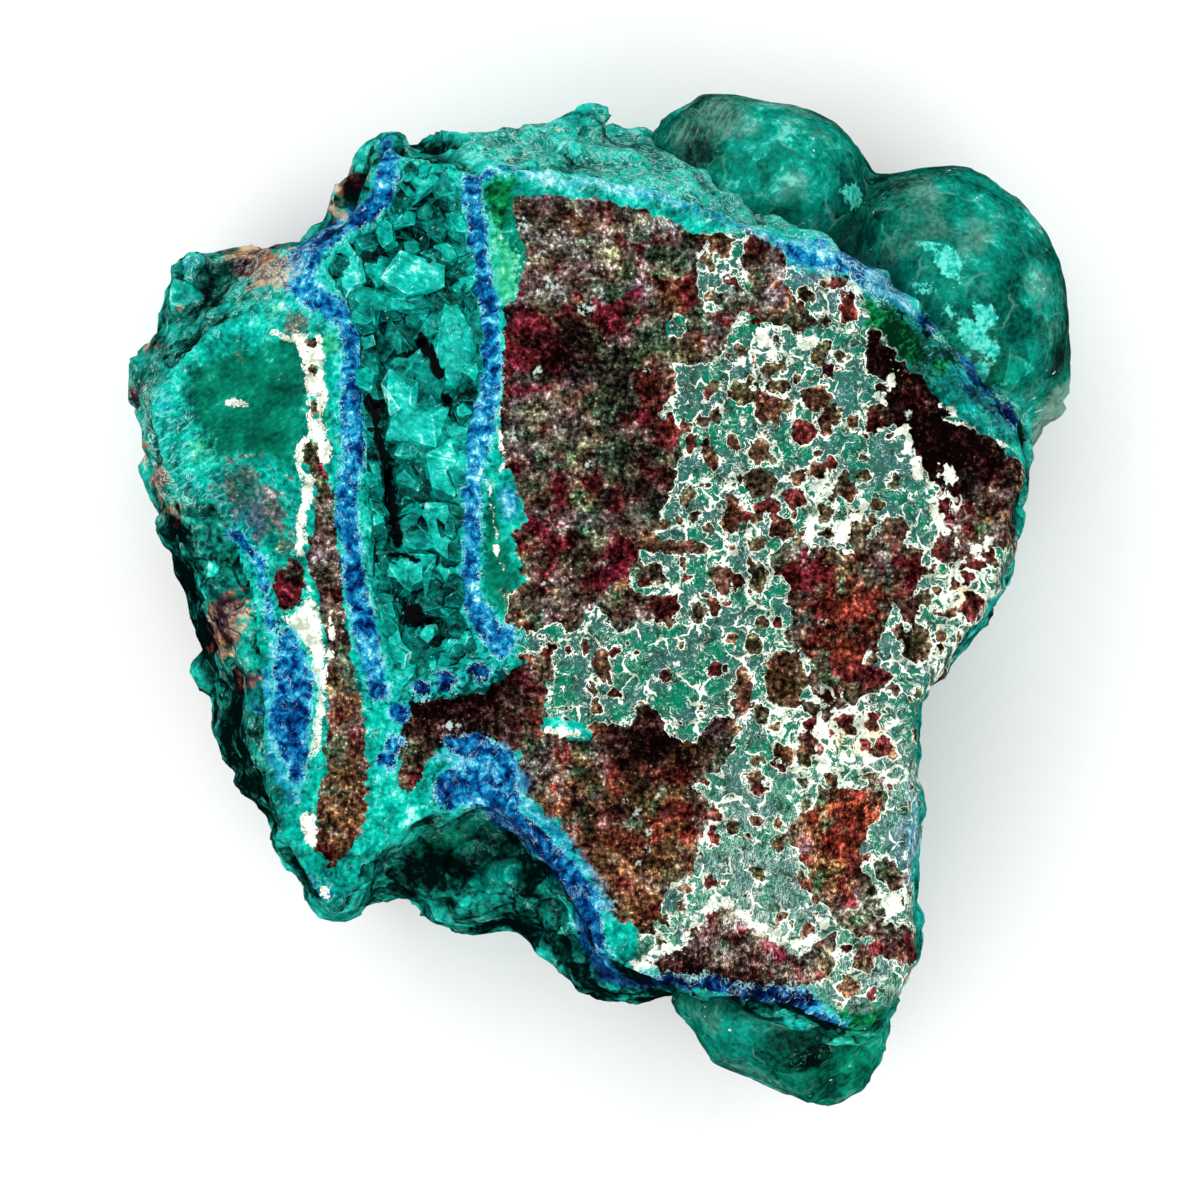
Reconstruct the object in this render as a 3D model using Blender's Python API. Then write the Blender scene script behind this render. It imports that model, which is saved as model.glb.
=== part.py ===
"""A dioptase specimen: a sawn piece of copper ore that lies on its back, with the polished face up.

The ore is one grown piece. A vein pocket runs down its face between two mineral bands and is lined with
a crust of dioptase crystals. Glassy green lobes of the same mineral grew on its upper edge and on its foot.
The origin is under the middle of the specimen, on the surface it rests on. +Y is up the face, and +Z is out
of the face.
"""

import math
import random

import bmesh
import bpy
from mathutils import Matrix, Vector, noise

MM = 0.001

# Driving dimensions, in millimetres: the height of the sawn face, the pocket's depth under it, the hairline
# gaps round the crust and the lobes, the grain of the rock's skin, and how much stands proud before the saw.
FACE_Z = 22.0
POCKET_DEPTH = 5.2
CRUST_GAP = 0.35
SOCKET_GAP = 0.35
SKIN_GRAIN = 0.8
SAW_SPARE = 0.8

# How many triangles each body keeps.
ROCK_TRIANGLES = 3900
LEFT_LOBE_TRIANGLES = 560
RIGHT_LOBE_TRIANGLES = 640
FOOT_LOBE_TRIANGLES = 520

# Lumps on the surfaces as (amount, spacing), and the noise behind them: roughness, step and octaves.
ROCK_LUMPS = [(0.3, 5.0), (0.24, 1.9)]
LOBE_LUMPS = [(0.22, 3.4)]
LUMP_NOISE = (0.8, 2.1, 3)
SMOOTHING_ROUNDS = 2

ORE_BROWN = (0.24, 0.20, 0.16)
CRYSTAL_GREEN = (0.0, 0.42, 0.34)
LOBE_GREEN = (0.03, 0.32, 0.24)

# The polished face's edge, clockwise from its left end.
FACE_EDGE = [
    (-27, 10.5), (-27, 12.2), (-25.9, 13.9), (-24.3, 15.9), (-21.9, 17.3), (-18.9, 18.6), (-17.1, 21),
    (-15.3, 22.7), (-13.9, 24), (-13.6, 26.9), (-12.9, 27.4), (-12.2, 27.3), (-11.7, 26.6), (-9.6, 26.4),
    (-7.2, 26.3), (-4.8, 26.1), (-2.4, 26), (0.6, 25.5), (3, 24.9), (6, 23.8), (9, 22.6), (12, 21.8),
    (14.1, 20.9), (15.6, 18.9), (17, 16.9), (19, 14.3), (21.3, 12.2), (23.6, 10.2), (25.4, 8.4),
    (25.5, 7.2), (25.1, 5.7), (24.9, 3.6), (24.4, 1.5), (22.3, -1.9), (20.5, -4.4),
    (19.1, -6.3), (19, -8.4), (18.8, -11.1), (19, -12.4), (18.8, -13.8), (18.8, -21.3), (18, -23.1),
    (17.7, -24.3), (16.8, -25.6), (14.4, -25.8), (11.4, -24.7), (8.4, -24), (5.4, -23.4), (2.4, -23.1),
    (0.3, -21.6), (-1.2, -19.2), (-2.4, -16.8), (-4.2, -15), (-5.5, -13), (-7.2, -12.4), (-10.2, -13.3),
    (-12.3, -14.7), (-14.1, -16.1), (-14.9, -17.7), (-16.2, -18.6), (-17.3, -18), (-18.1, -16.2),
    (-19, -14.4), (-19.8, -12), (-20.3, -9.6), (-20.3, -6), (-20.6, -2.4), (-21, 0.6), (-21.9, 3),
    (-23.1, 5.4), (-25.2, 6.3), (-26.4, 7.8),
]

# The widest outline of the ore, clockwise from its left end. It leaves out the green lobes.
GIRTH = [
    (-28.5, 14.1), (-27.1, 15.3), (-26.7, 16.5), (-25.8, 18.9), (-25.4, 21.3), (-24.6, 21.8), (-21, 21.1),
    (-19.3, 20.8), (-18.3, 21.1), (-17.3, 22.7), (-16.6, 22.9), (-15.6, 24.8), (-14.7, 26.3),
    (-13.9, 26.6), (-13.9, 27.6), (-12.9, 27.8), (-11.7, 27.4), (-10.1, 27.8), (-8.4, 28.1), (-4.5, 28.5),
    (-2.7, 28.4), (1.1, 28.5), (2.1, 28.2), (3.3, 28.1), (6.6, 25.8), (10.2, 23.7), (13.2, 21.9),
    (16.8, 20.3), (20.4, 18), (23.4, 15), (25.2, 12), (26.1, 9.3), (25.9, 7.8), (25.4, 5.7), (25.2, 3.6),
    (24.8, 1.3), (24, -0.2), (22.6, -2.2), (20.8, -4.6), (19.4, -6.3), (19.3, -8.4), (19.1, -11.1),
    (19.3, -12.4), (19.1, -13.8), (19.1, -21.4), (18.3, -23.2), (18.1, -24.4), (17.1, -25.9),
    (15, -27), (10.8, -26.1), (6, -24.5), (3.8, -24), (2.4, -24.4), (0, -24.3), (-1.3, -23.4),
    (-1.9, -21.7), (-3.3, -21.6), (-5.3, -19.8), (-7.3, -20.2), (-8.5, -19.8), (-10.8, -18.3),
    (-11.7, -17.6), (-13.1, -17.9), (-14.5, -18), (-15.3, -18.9), (-16.2, -19.1), (-17.2, -18.7),
    (-17.8, -18), (-18.4, -16.5), (-19.5, -14.8), (-19.7, -13.9), (-20.5, -12.2), (-21.1, -11.7),
    (-22.9, -9.9), (-23.5, -8.7), (-23.3, -6.7), (-23.7, -4.9), (-24.2, -2.2), (-24.4, -0.7),
    (-24.7, 0.5), (-25.3, 2.2), (-25.8, 3.6), (-26.2, 4.5), (-26.6, 5.4), (-27.2, 6), (-27.4, 7.9),
    (-27.8, 10.3), (-28.1, 12), (-28.6, 13.1),
]

# The vein pocket's mouth in the face, clockwise from the left wall's upper bend.
POCKET_MOUTH = [
    (-15.3, 18.3), (-16.1, 19.7), (-15.3, 21), (-13.8, 21.9), (-12.3, 23.1), (-11.9, 24.8), (-11.4, 26),
    (-9.6, 25.8), (-8.7, 24.6), (-8.3, 22.7), (-7.8, 19.8), (-7.4, 16.8), (-7.3, 13.8), (-7.8, 11.3),
    (-8.2, 9), (-8.5, 6), (-8.6, 2.4), (-8.5, -0.6), (-7.8, -2.1), (-7.6, -3), (-9, -3.8), (-10.8, -4.5),
    (-11.9, -5), (-12.8, -2.4), (-13.2, 0), (-13.5, 2.4), (-13.6, 4.8), (-13.8, 7.8), (-14, 10.8),
    (-14.2, 13.2), (-14.3, 16.2),
]

# The ore's upright profile as (height, scale of the outline), and the same for the block under the face.
GIRTH_PROFILE = [(-SAW_SPARE, 0.74), (1.6, 0.88), (5.0, 0.965), (8.5, 1.0), (11.5, 0.99), (13.5, 0.95)]
BLOCK_PROFILE = [(5.0, 0.97), (11.0, 1.0), (20.8, 1.004), (FACE_Z + SAW_SPARE, 0.985)]

# The pocket's wall as (depth under the face, how far it has drawn in from the mouth).
POCKET_PROFILE = [(POCKET_DEPTH, 1.5), (4.3, 0.75), (1.2, 0.1), (-SAW_SPARE, 0.0)]

# How far under the face the crust's bed lies, and its highest crystals, and how much further than they do the
# bed keeps from the wall. Then its crystals, a row round the wall and one in the middle, as (distance from
# the mouth's edge, spacing, depth, upward lean, greatest length, greatest width).
CRUST_BED_DEPTH = 2.5
CRUST_TOP_DEPTH = 0.15
CRUST_BED_SPARE = 0.15
CRUST_ROWS = [(0.3, 2.5, 1.9, 0.5, 3.4, 2.8), (2.0, 3.4, 3.4, 2.4, 3.0, 2.6)]

# Broken flanks that slope from the face's edge to the girth, each a convex chunk given by its corners.
FLANKS = [
    [(-25.2, 6.3, 21.4), (-23.1, 5.4, 21.6), (-21.6, 2.4, 21.4), (-20.6, -2.4, 21.4), (-20.3, -6, 21.4),
     (-27.1, 6.2, 12), (-25.6, 3.2, 9), (-24.5, -0.4, 8), (-23.6, -4.4, 8), (-23.1, -6.8, 8),
     (-20, 4, 6), (-18, -6, 6)],
    [(-20.3, -6, 21.5), (-20.2, -9.6, 21.5), (-19.2, -13, 21.4), (-23, -7, 12), (-23, -8.8, 11),
     (-21.4, -10.6, 10), (-19.7, -12.8, 9), (-17, -8, 6)],
    [(-19.2, -13, 21.4), (-17.6, -17.4, 20.5), (-19.2, -14.6, 10), (-17.9, -17.8, 9), (-15, -14, 6)],
    [(-26.8, 11, 21.2), (-26.6, 12.6, 21), (-24.3, 15.9, 21.2), (-21.9, 17.3, 21), (-28.4, 13.6, 13.5),
     (-27, 15.2, 13), (-26.2, 17.4, 12), (-24.6, 19, 12), (-22, 19.8, 12.5), (-24, 9, 9)],
    [(-18.9, 18.6, 21.2), (-17.1, 21, 21.2), (-21.9, 17.3, 21), (-24, 20.6, 14.5), (-21, 20.8, 15.4),
     (-18.6, 20.8, 16), (-20, 14, 9)],
    [(-11.7, 26.4, 21.5), (-7.2, 26.3, 21.6), (-2.4, 26, 21.6), (0.6, 25.5, 21.4), (-12, 27.4, 15),
     (-8.4, 28.1, 14), (-2.7, 28.6, 14), (1.6, 28.4, 13), (-6, 20, 8)],
    [(0.6, 25.5, 21.5), (3, 24.9, 21.6), (6, 23.8, 21.5), (9, 22.6, 21.4), (1.4, 28.5, 14),
     (3.6, 28, 12), (7.4, 26.4, 10), (11, 23.8, 10), (4, 18, 8)],
    [(14.1, 20.9, 21.6), (17, 16.9, 21.6), (21.3, 12.2, 21.6), (25.4, 8.4, 21.4), (16.6, 20.4, 19.4),
     (19, 18, 19.2), (22.6, 14.9, 19), (24.6, 12.4, 18.8), (26, 9.4, 18.6), (26, 8.4, 14), (19, 12, 12)],
    [(14.4, -25.6, 21.2), (8.4, -24, 21.2), (16.6, -25.6, 21), (15, -27, 15), (9, -26, 14),
     (17, -26, 14), (10, -18, 8)],
]

# Rounded swellings of the rind as (centre, radii): those under the face's lower edge, and the blunt corners.
SWELLINGS = [
    ((-10.3, -16.4, 11.5), (2.9, 1.9, 3.6)), ((-7.4, -17.9, 10.5), (2.7, 2.1, 4.2)),
    ((-4.4, -17.2, 11.0), (2.2, 2.3, 4.0)), ((-2.6, -19.2, 10.0), (2.0, 1.9, 3.8)),
    ((0.4, -22.0, 12.0), (2.7, 2.3, 4.4)), ((2.9, -22.4, 11.0), (2.4, 1.7, 4.0)),
    ((-15.9, -17.5, 12.0), (1.9, 1.8, 8.5)), ((-12.9, 26.3, 12.0), (1.2, 1.7, 9.2)),
    ((-26.8, 12.8, 12.0), (1.8, 2.2, 5.0)),
]

# Single crystals with flat faces on the rim as (foot, point, width).
RIM_CRYSTALS = [
    ((-24.4, 16.2, 12.5), (-24.1, 20.9, 16.8), 3.4), ((-5.6, 26.2, 15.6), (1.0, 29.4, 15.6), 2.8),
    ((-15.4, 23.3, 15.2), (-14.4, 26.0, 17.0), 1.7), ((-19.2, 19.4, 14.0), (-18.4, 21.4, 15.6), 2.0),
    ((-9.2, -15.5, 10.0), (-8.4, -17.2, 16.2), 2.4), ((-5.6, -15.6, 9.0), (-5.0, -17.0, 15.4), 2.0),
    ((-2.8, -18.2, 9.0), (-1.8, -20.0, 15.0), 2.1),
]

# A dioptase crystal ends in three faces that lean out by these shares, sideways and along its length.
RHOMB_SIDEWAYS = 0.8
RHOMB_ALONG = 0.6

# Green lobes as (seed, middle, half height, widest outline, flat chips as a point and a direction).
LEFT_LOBE = (
    2, (10.2, 25.6, 9.8), 8.2,
    [(3.3, 27.9), (4.2, 29.4), (5.4, 29.8), (6.3, 30.7), (8.1, 30.6), (10.2, 30.2), (12, 29.9),
     (13.8, 29.2), (15.2, 28.2), (15.9, 27), (16.3, 25.5), (16.4, 23.6), (15.6, 21.6), (13.2, 20.6),
     (9.6, 21), (6, 22.6), (3.9, 25.2)],
    [((4.6, 25.4, 13.2), (-0.70, -0.20, 0.68)), ((5.6, 28.4, 13.4), (-0.42, 0.40, 0.81)),
     ((9.0, 22.4, 16.6), (-0.34, -0.42, 0.84))],
)
RIGHT_LOBE = (
    3, (22.0, 18.0, 10.2), 9.5,
    [(16.1, 25.4), (17.1, 25.8), (18.6, 26.1), (20.2, 26.3), (22.2, 26.2), (23.9, 25.4), (25.4, 24.1),
     (26.8, 22.6), (27.7, 20.9), (28.2, 19.1), (28.4, 16.8), (28.5, 15), (28.4, 13.4), (27.9, 11.9),
     (26.9, 10.4), (25.8, 9.2), (23.4, 9.3), (20, 11.4), (17.4, 14.4), (15.7, 18), (15.2, 21.8)],
    [((27.0, 11.8, 12.5), (0.66, -0.62, 0.42)), ((21.5, 24.8, 15.2), (0.10, 0.72, 0.68))],
)
FOOT_LOBE = (
    4, (11.4, -25.4, 9.4), 7.4,
    [(4, -24.4), (5.1, -25.4), (5.9, -26.6), (6.8, -28), (8.9, -28.9), (11.4, -30), (12.6, -30.5),
     (14.1, -30.7), (15.7, -29.8), (16.9, -28), (17.4, -26), (16.8, -23.8), (15, -22), (11.4, -21.4),
     (7.2, -22.2)],
    [((7.6, -27.6, 13.2), (-0.44, -0.66, 0.61)), ((9.4, -26.4, 15.9), (-0.10, -0.26, 0.96)),
     ((14.8, -28.4, 12.6), (0.50, -0.62, 0.60))],
)


def face_outwards(bm):
    """Turns every face of a closed shape outwards."""
    bmesh.ops.recalc_face_normals(bm, faces=bm.faces[:])
    if bm.calc_volume(signed=True) < 0:
        bmesh.ops.reverse_faces(bm, faces=bm.faces[:])


def new_object(name, bm, colour, roughness):
    """A named object made from bm, which is in millimetres, with its own plain material."""
    bmesh.ops.triangulate(bm, faces=bm.faces[:])
    bmesh.ops.scale(bm, vec=(MM, MM, MM), verts=bm.verts[:])
    mesh = bpy.data.meshes.new(name)
    bm.to_mesh(mesh)
    bm.free()
    material = bpy.data.materials.new(name)
    material.use_nodes = True
    shader = material.node_tree.nodes["Principled BSDF"]
    shader.inputs["Base Color"].default_value = (*colour, 1.0)
    shader.inputs["Roughness"].default_value = roughness
    shader.inputs["Metallic"].default_value = 0.0
    mesh.materials.append(material)
    made = bpy.data.objects.new(name, mesh)
    bpy.context.scene.collection.objects.link(made)
    return made


def drawn_in(outline, distance, least_share=0.6):
    """The outline, which runs clockwise, with every side moved inwards by distance.

    A corner moves further than its sides do. The least share keeps a sharp one from moving too far.
    """
    moved = []
    for i, point in enumerate(outline):
        here = Vector(point)
        first = (here - Vector(outline[i - 1])).normalized()
        second = (Vector(outline[(i + 1) % len(outline)]) - here).normalized()
        inward = Vector((first.y + second.y, -first.x - second.x)).normalized()
        share = max(least_share, inward.dot(Vector((second.y, -second.x))))
        moved.append(here + inward * (distance / share))
    return moved


def scaled(outline, factor):
    """The outline scaled about the middle of its corners."""
    middle = sum((Vector(p) for p in outline), Vector((0, 0))) / len(outline)
    return [middle + (Vector(p) - middle) * factor for p in outline]


def loft(bm, rings):
    """A closed solid from rings given as (height, outline), lowest first."""
    loops = [[bm.verts.new((p[0], p[1], height)) for p in outline] for height, outline in rings]
    for lower, upper in zip(loops, loops[1:]):
        for i in range(len(lower)):
            bm.faces.new((lower[i - 1], lower[i], upper[i], upper[i - 1]))
    caps = [bm.faces.new(loops[0]), bm.faces.new(loops[-1])]
    bmesh.ops.triangulate(bm, faces=caps)


def pocket_solid(profile, gap, top_depth):
    """The pocket's hollow, or what fills it at a gap from its walls, up to top_depth under the face."""
    rings = []
    for depth, inset in profile:
        if depth > top_depth:
            rings.append((FACE_Z - depth + gap, drawn_in(POCKET_MOUTH, inset + gap)))
    rings.append((FACE_Z - top_depth, drawn_in(POCKET_MOUTH, profile[-1][1] + gap)))
    bm = bmesh.new()
    loft(bm, rings)
    face_outwards(bm)
    return bm


def chunk(bm, corners):
    """A convex chunk with flat faces through the given corners, added to bm."""
    verts = [bm.verts.new(c) for c in corners]
    made = bmesh.ops.convex_hull(bm, input=verts)
    unused = {g for g in made["geom_interior"] + made["geom_unused"] if isinstance(g, bmesh.types.BMVert)}
    bmesh.ops.delete(bm, geom=list(unused), context="VERTS")


def crystal(name, foot, point, width, turn):
    """A hidden six-sided dioptase prism from foot to point, ended by the three faces of a rhombohedron."""
    axis = Vector(point) - Vector(foot)
    length = axis.length
    own = bmesh.new()
    bmesh.ops.create_cone(own, cap_ends=True, segments=6, radius1=width / 2, radius2=width / 2,
                          depth=length, matrix=Matrix.Translation((0, 0, length / 2)))
    for side in range(3):
        angle = side * math.tau / 3
        tilted = Vector((math.cos(angle) * RHOMB_SIDEWAYS, math.sin(angle) * RHOMB_SIDEWAYS, RHOMB_ALONG))
        cut = bmesh.ops.bisect_plane(own, geom=own.verts[:] + own.edges[:] + own.faces[:],
                                     plane_co=(0, 0, length), plane_no=tilted, clear_outer=True)
        rim = [g for g in cut["geom_cut"] if isinstance(g, bmesh.types.BMEdge)]
        bmesh.ops.contextual_create(own, geom=rim)
    place = Matrix.Translation(foot) @ axis.to_track_quat("Z", "Y").to_matrix().to_4x4()
    own.transform(place @ Matrix.Rotation(turn, 4, "Z"))
    face_outwards(own)
    return helper(name, own)


def helper(name, bm):
    """A hidden object in metres, for a modifier to read."""
    made = new_object(name, bm, ORE_BROWN, roughness=0.5)
    made.hide_render = True
    made.display_type = "WIRE"
    return made


def baked(made):
    """The object with its modifiers applied, as a bmesh in millimetres. The object is removed."""
    bpy.context.view_layer.update()
    mesh = bpy.data.meshes.new_from_object(made.evaluated_get(bpy.context.evaluated_depsgraph_get()))
    bm = bmesh.new()
    bm.from_mesh(mesh)
    bmesh.ops.scale(bm, vec=(1 / MM, 1 / MM, 1 / MM), verts=bm.verts[:])
    bpy.data.meshes.remove(mesh)
    bpy.data.objects.remove(made)
    return bm


def boolean(made, operation, other, solver="EXACT"):
    """Unites the object with another one, or cuts it with that."""
    modifier = made.modifiers.new(other.name, "BOOLEAN")
    modifier.solver = solver
    modifier.operation = operation
    modifier.object = other


def joined_to_all(made, others, solver="EXACT"):
    """Unites the object with every one of the others, which may overlap each other too."""
    group = bpy.data.collections.new(made.name + "_crystals")
    group.hide_render = True
    bpy.context.scene.collection.children.link(group)
    for other in others:
        group.objects.link(other)
        bpy.context.scene.collection.objects.unlink(other)
    modifier = made.modifiers.new(group.name, "BOOLEAN")
    modifier.solver = solver
    modifier.operation = "UNION"
    modifier.operand_type = "COLLECTION"
    modifier.collection = group


def sawn(bm, height, direction):
    """Cuts bm off flat at a height and closes the cut."""
    bmesh.ops.bisect_plane(bm, geom=bm.verts[:] + bm.edges[:] + bm.faces[:], plane_co=(0, 0, height),
                           plane_no=(0, 0, direction), clear_outer=True)
    bmesh.ops.holes_fill(bm, edges=[e for e in bm.edges if e.is_boundary])


def roughened(bm, lumps, seed):
    """Moves each point of bm along its normal by noise, with lumps given as (amount, spacing)."""
    bm.normal_update()
    offset = Vector((seed * 13.7, seed * 5.1, seed * 9.3))
    moves = [
        sum(amount * noise.fractal(v.co / spacing + offset, *LUMP_NOISE) for amount, spacing in lumps)
        for v in bm.verts
    ]
    for v, move in zip(bm.verts, moves):
        v.co += v.normal * move


def reach(outline, middle, direction):
    """How far the outline lies from the middle in one direction."""
    farthest = 0.0
    for start, end in zip(outline, outline[1:] + outline[:1]):
        first, side = Vector(start) - middle, Vector(end) - Vector(start)
        turn = direction.cross(side)
        if turn == 0:
            continue
        distance, share = first.cross(side) / turn, first.cross(direction) / turn
        if distance > 0 and 0 <= share <= 1:
            farthest = max(farthest, distance)
    return farthest


def lobe_mesh(lobe, grow=0.0):
    """A glassy lobe: a lumpy ball with flat chips broken off, grown by a gap where it is a cutter."""
    seed, middle, half_height, outline, chips = lobe
    bm = bmesh.new()
    bmesh.ops.create_icosphere(bm, subdivisions=4, radius=1.0)
    for v in bm.verts:
        flat = v.co.to_2d()
        if flat.length > 0:
            flat = flat * reach(outline, Vector(middle).to_2d(), flat.normalized())
        v.co = Vector((flat.x, flat.y, v.co.z * half_height)) + Vector(middle)
    roughened(bm, LOBE_LUMPS, seed)
    for point, direction in chips:
        bmesh.ops.bisect_plane(bm, geom=bm.verts[:] + bm.edges[:] + bm.faces[:], plane_co=point,
                               plane_no=direction, clear_outer=True)
        bmesh.ops.holes_fill(bm, edges=[e for e in bm.edges if e.is_boundary])
    if grow:
        bm.normal_update()
        for v in bm.verts:
            v.co += v.normal * grow
    return bm


def thinned(name, bm, triangles):
    """bm with about that many triangles, its flat stretches in few."""
    bmesh.ops.triangulate(bm, faces=bm.faces[:])
    share = min(1.0, triangles / len(bm.faces))
    made = helper(name, bm)
    modifier = made.modifiers.new("thin", "DECIMATE")
    modifier.ratio = share
    return baked(made)


def rock_body():
    """The ore without its pocket and sockets: girth, face block, flanks and swellings fused into one skin."""
    bm = bmesh.new()
    for outline, profile in ((GIRTH, GIRTH_PROFILE), (FACE_EDGE, BLOCK_PROFILE)):
        loft(bm, [(height, scaled(outline, factor)) for height, factor in profile])
    face_outwards(bm)
    for corners in FLANKS:
        chunk(bm, corners)
    for centre, radii in SWELLINGS:
        place = Matrix.Translation(centre) @ Matrix.Diagonal((*radii, 1.0))
        bmesh.ops.create_icosphere(bm, subdivisions=3, radius=1.0, matrix=place)
    made = helper("rock_skin", bm)
    skin = made.modifiers.new("skin", "REMESH")
    skin.mode = "VOXEL"
    skin.voxel_size = SKIN_GRAIN * MM
    bm = baked(made)
    for _ in range(SMOOTHING_ROUNDS):
        bmesh.ops.smooth_vert(bm, verts=bm.verts[:], factor=0.5, use_axis_x=True, use_axis_y=True,
                              use_axis_z=True)
    roughened(bm, ROCK_LUMPS, seed=1)
    bm = thinned("rock_thin", bm, ROCK_TRIANGLES)
    sawn(bm, FACE_Z, 1)
    sawn(bm, 0.0, -1)
    return bm


def matrix_rock():
    """The ore, with its rim crystals grown on, its pocket hollowed out and a socket for each lobe."""
    rock = new_object("matrix_rock", rock_body(), ORE_BROWN, roughness=0.55)
    joined_to_all(rock, [crystal("rim_crystal", foot, point, width, turn=0.7 * i)
                         for i, (foot, point, width) in enumerate(RIM_CRYSTALS)])
    boolean(rock, "DIFFERENCE", helper("pocket", pocket_solid(POCKET_PROFILE, 0.0, -SAW_SPARE)))
    for name, lobe in (("left_socket", LEFT_LOBE), ("right_socket", RIGHT_LOBE), ("foot_socket", FOOT_LOBE)):
        boolean(rock, "DIFFERENCE", helper(name, lobe_mesh(lobe, SOCKET_GAP)))


def upper_lobes():
    """The two lobes at the upper right, which are grown into each other."""
    left = thinned("left_thin", lobe_mesh(LEFT_LOBE), LEFT_LOBE_TRIANGLES)
    right = thinned("right_thin", lobe_mesh(RIGHT_LOBE), RIGHT_LOBE_TRIANGLES)
    made = new_object("upper_green_lobes", left, LOBE_GREEN, roughness=0.2)
    boolean(made, "UNION", helper("right_lobe", right))


def foot_lobe():
    """The lobe under the foot."""
    lobe = thinned("foot_thin", lobe_mesh(FOOT_LOBE), FOOT_LOBE_TRIANGLES)
    new_object("foot_green_lobe", lobe, LOBE_GREEN, roughness=0.2)


def along(outline, spacing):
    """Points spaced evenly round a closed outline, each with the direction of the side that it lies on."""
    spots = []
    spare = 0.0
    for start, end in zip(outline, outline[1:] + outline[:1]):
        side = end - start
        while spare < side.length:
            spots.append((start + side.normalized() * spare, side.normalized()))
            spare += spacing
        spare -= side.length
    return spots


def pocket_crust():
    """The pocket's lining: a bed, and prisms that lean in from the walls, sawn off under the face."""
    draw = random.Random(11)
    crystals = []
    for inset, spacing, depth, rise, longest, widest in CRUST_ROWS:
        for spot, side in along(drawn_in(POCKET_MOUTH, inset), spacing):
            lean = Vector((side.y, -side.x, rise))
            lean += Vector((draw.uniform(-0.4, 0.4), draw.uniform(-0.4, 0.4), draw.uniform(-0.2, 0.3)))
            foot = Vector((*spot, FACE_Z - depth))
            point = foot + lean.normalized() * draw.uniform(0.75 * longest, longest)
            crystals.append(crystal("pocket_crystal", foot, point, draw.uniform(0.7 * widest, widest),
                                    draw.uniform(0, math.tau)))
    bed = pocket_solid(POCKET_PROFILE, CRUST_GAP + CRUST_BED_SPARE, CRUST_BED_DEPTH)
    made = new_object("pocket_crystal_crust", bed, CRYSTAL_GREEN, roughness=0.15)
    joined_to_all(made, crystals, "MANIFOLD")
    room = helper("pocket_room", pocket_solid(POCKET_PROFILE, CRUST_GAP, CRUST_TOP_DEPTH))
    boolean(made, "INTERSECT", room, "MANIFOLD")


for leftover in list(bpy.data.objects):
    bpy.data.objects.remove(leftover)
matrix_rock()
pocket_crust()
upper_lobes()
foot_lobe()
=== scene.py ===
"""A dioptase specimen: sawn copper ore on its back, with a crystal-lined vein and glassy green lobes."""

import math
import random

import bmesh
import bpy
import numpy as np
from mathutils import Matrix, Vector, noise


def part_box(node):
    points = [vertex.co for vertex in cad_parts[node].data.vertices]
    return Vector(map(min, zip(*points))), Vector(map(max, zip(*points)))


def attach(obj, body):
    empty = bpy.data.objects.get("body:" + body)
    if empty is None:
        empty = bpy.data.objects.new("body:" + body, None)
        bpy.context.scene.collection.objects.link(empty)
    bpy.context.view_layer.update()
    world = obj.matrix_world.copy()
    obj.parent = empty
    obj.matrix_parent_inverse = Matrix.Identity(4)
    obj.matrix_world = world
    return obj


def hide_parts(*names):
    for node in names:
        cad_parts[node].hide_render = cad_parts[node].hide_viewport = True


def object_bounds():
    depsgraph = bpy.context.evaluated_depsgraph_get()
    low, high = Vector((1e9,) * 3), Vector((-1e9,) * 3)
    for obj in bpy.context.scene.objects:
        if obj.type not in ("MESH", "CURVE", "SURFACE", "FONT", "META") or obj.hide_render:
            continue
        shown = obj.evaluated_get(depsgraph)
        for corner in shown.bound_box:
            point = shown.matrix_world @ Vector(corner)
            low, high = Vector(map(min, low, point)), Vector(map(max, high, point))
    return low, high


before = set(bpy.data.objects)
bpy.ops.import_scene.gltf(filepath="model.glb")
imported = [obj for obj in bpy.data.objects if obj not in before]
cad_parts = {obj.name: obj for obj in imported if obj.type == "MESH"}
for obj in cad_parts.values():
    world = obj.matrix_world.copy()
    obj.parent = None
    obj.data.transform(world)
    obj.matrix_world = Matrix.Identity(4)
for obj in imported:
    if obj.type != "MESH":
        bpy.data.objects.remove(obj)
cad_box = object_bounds()


# ---- The ore ----
# One piece of ironstone and copper silicate, grown as it is and sawn once. The saw cut was polished, so the
# minerals lie in it as flat markings. Its sides are the broken rock and the rind that grew round it.

MM = 0.001
FACE_Z = 22.0 * MM
ORE_GRAIN = 0.40 * MM
WELD = 0.001 * MM


def placed(name, data):
    """A new object that shows the data, put into the scene at the origin."""
    made = bpy.data.objects.new(name, data)
    bpy.context.scene.collection.objects.link(made)
    return made


def fine_copy(node, name, grain):
    """A copy of a solid with its surface cut into small, even faces of about the grain's size."""
    bm = bmesh.new()
    bm.from_mesh(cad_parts[node].data)
    bmesh.ops.remove_doubles(bm, verts=bm.verts[:], dist=WELD)
    mesh = bpy.data.meshes.new(name)
    bm.to_mesh(mesh)
    bm.free()
    made = placed(name, mesh)
    skin = made.modifiers.new("skin", "REMESH")
    skin.mode = "VOXEL"
    skin.voxel_size = grain
    bpy.context.view_layer.update()
    fine = bpy.data.meshes.new_from_object(made.evaluated_get(bpy.context.evaluated_depsgraph_get()))
    made.modifiers.clear()
    made.data = fine
    bpy.data.meshes.remove(mesh)
    fine.name = name
    return made


def points_of(mesh):
    """The mesh's points in millimetres, one row each."""
    flat = np.empty(len(mesh.vertices) * 3)
    mesh.vertices.foreach_get("co", flat)
    return flat.reshape(-1, 3) / MM


def normals_of(mesh):
    """The direction that the surface faces at each point."""
    flat = np.empty(len(mesh.vertices) * 3)
    mesh.vertices.foreach_get("normal", flat)
    return flat.reshape(-1, 3)


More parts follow.
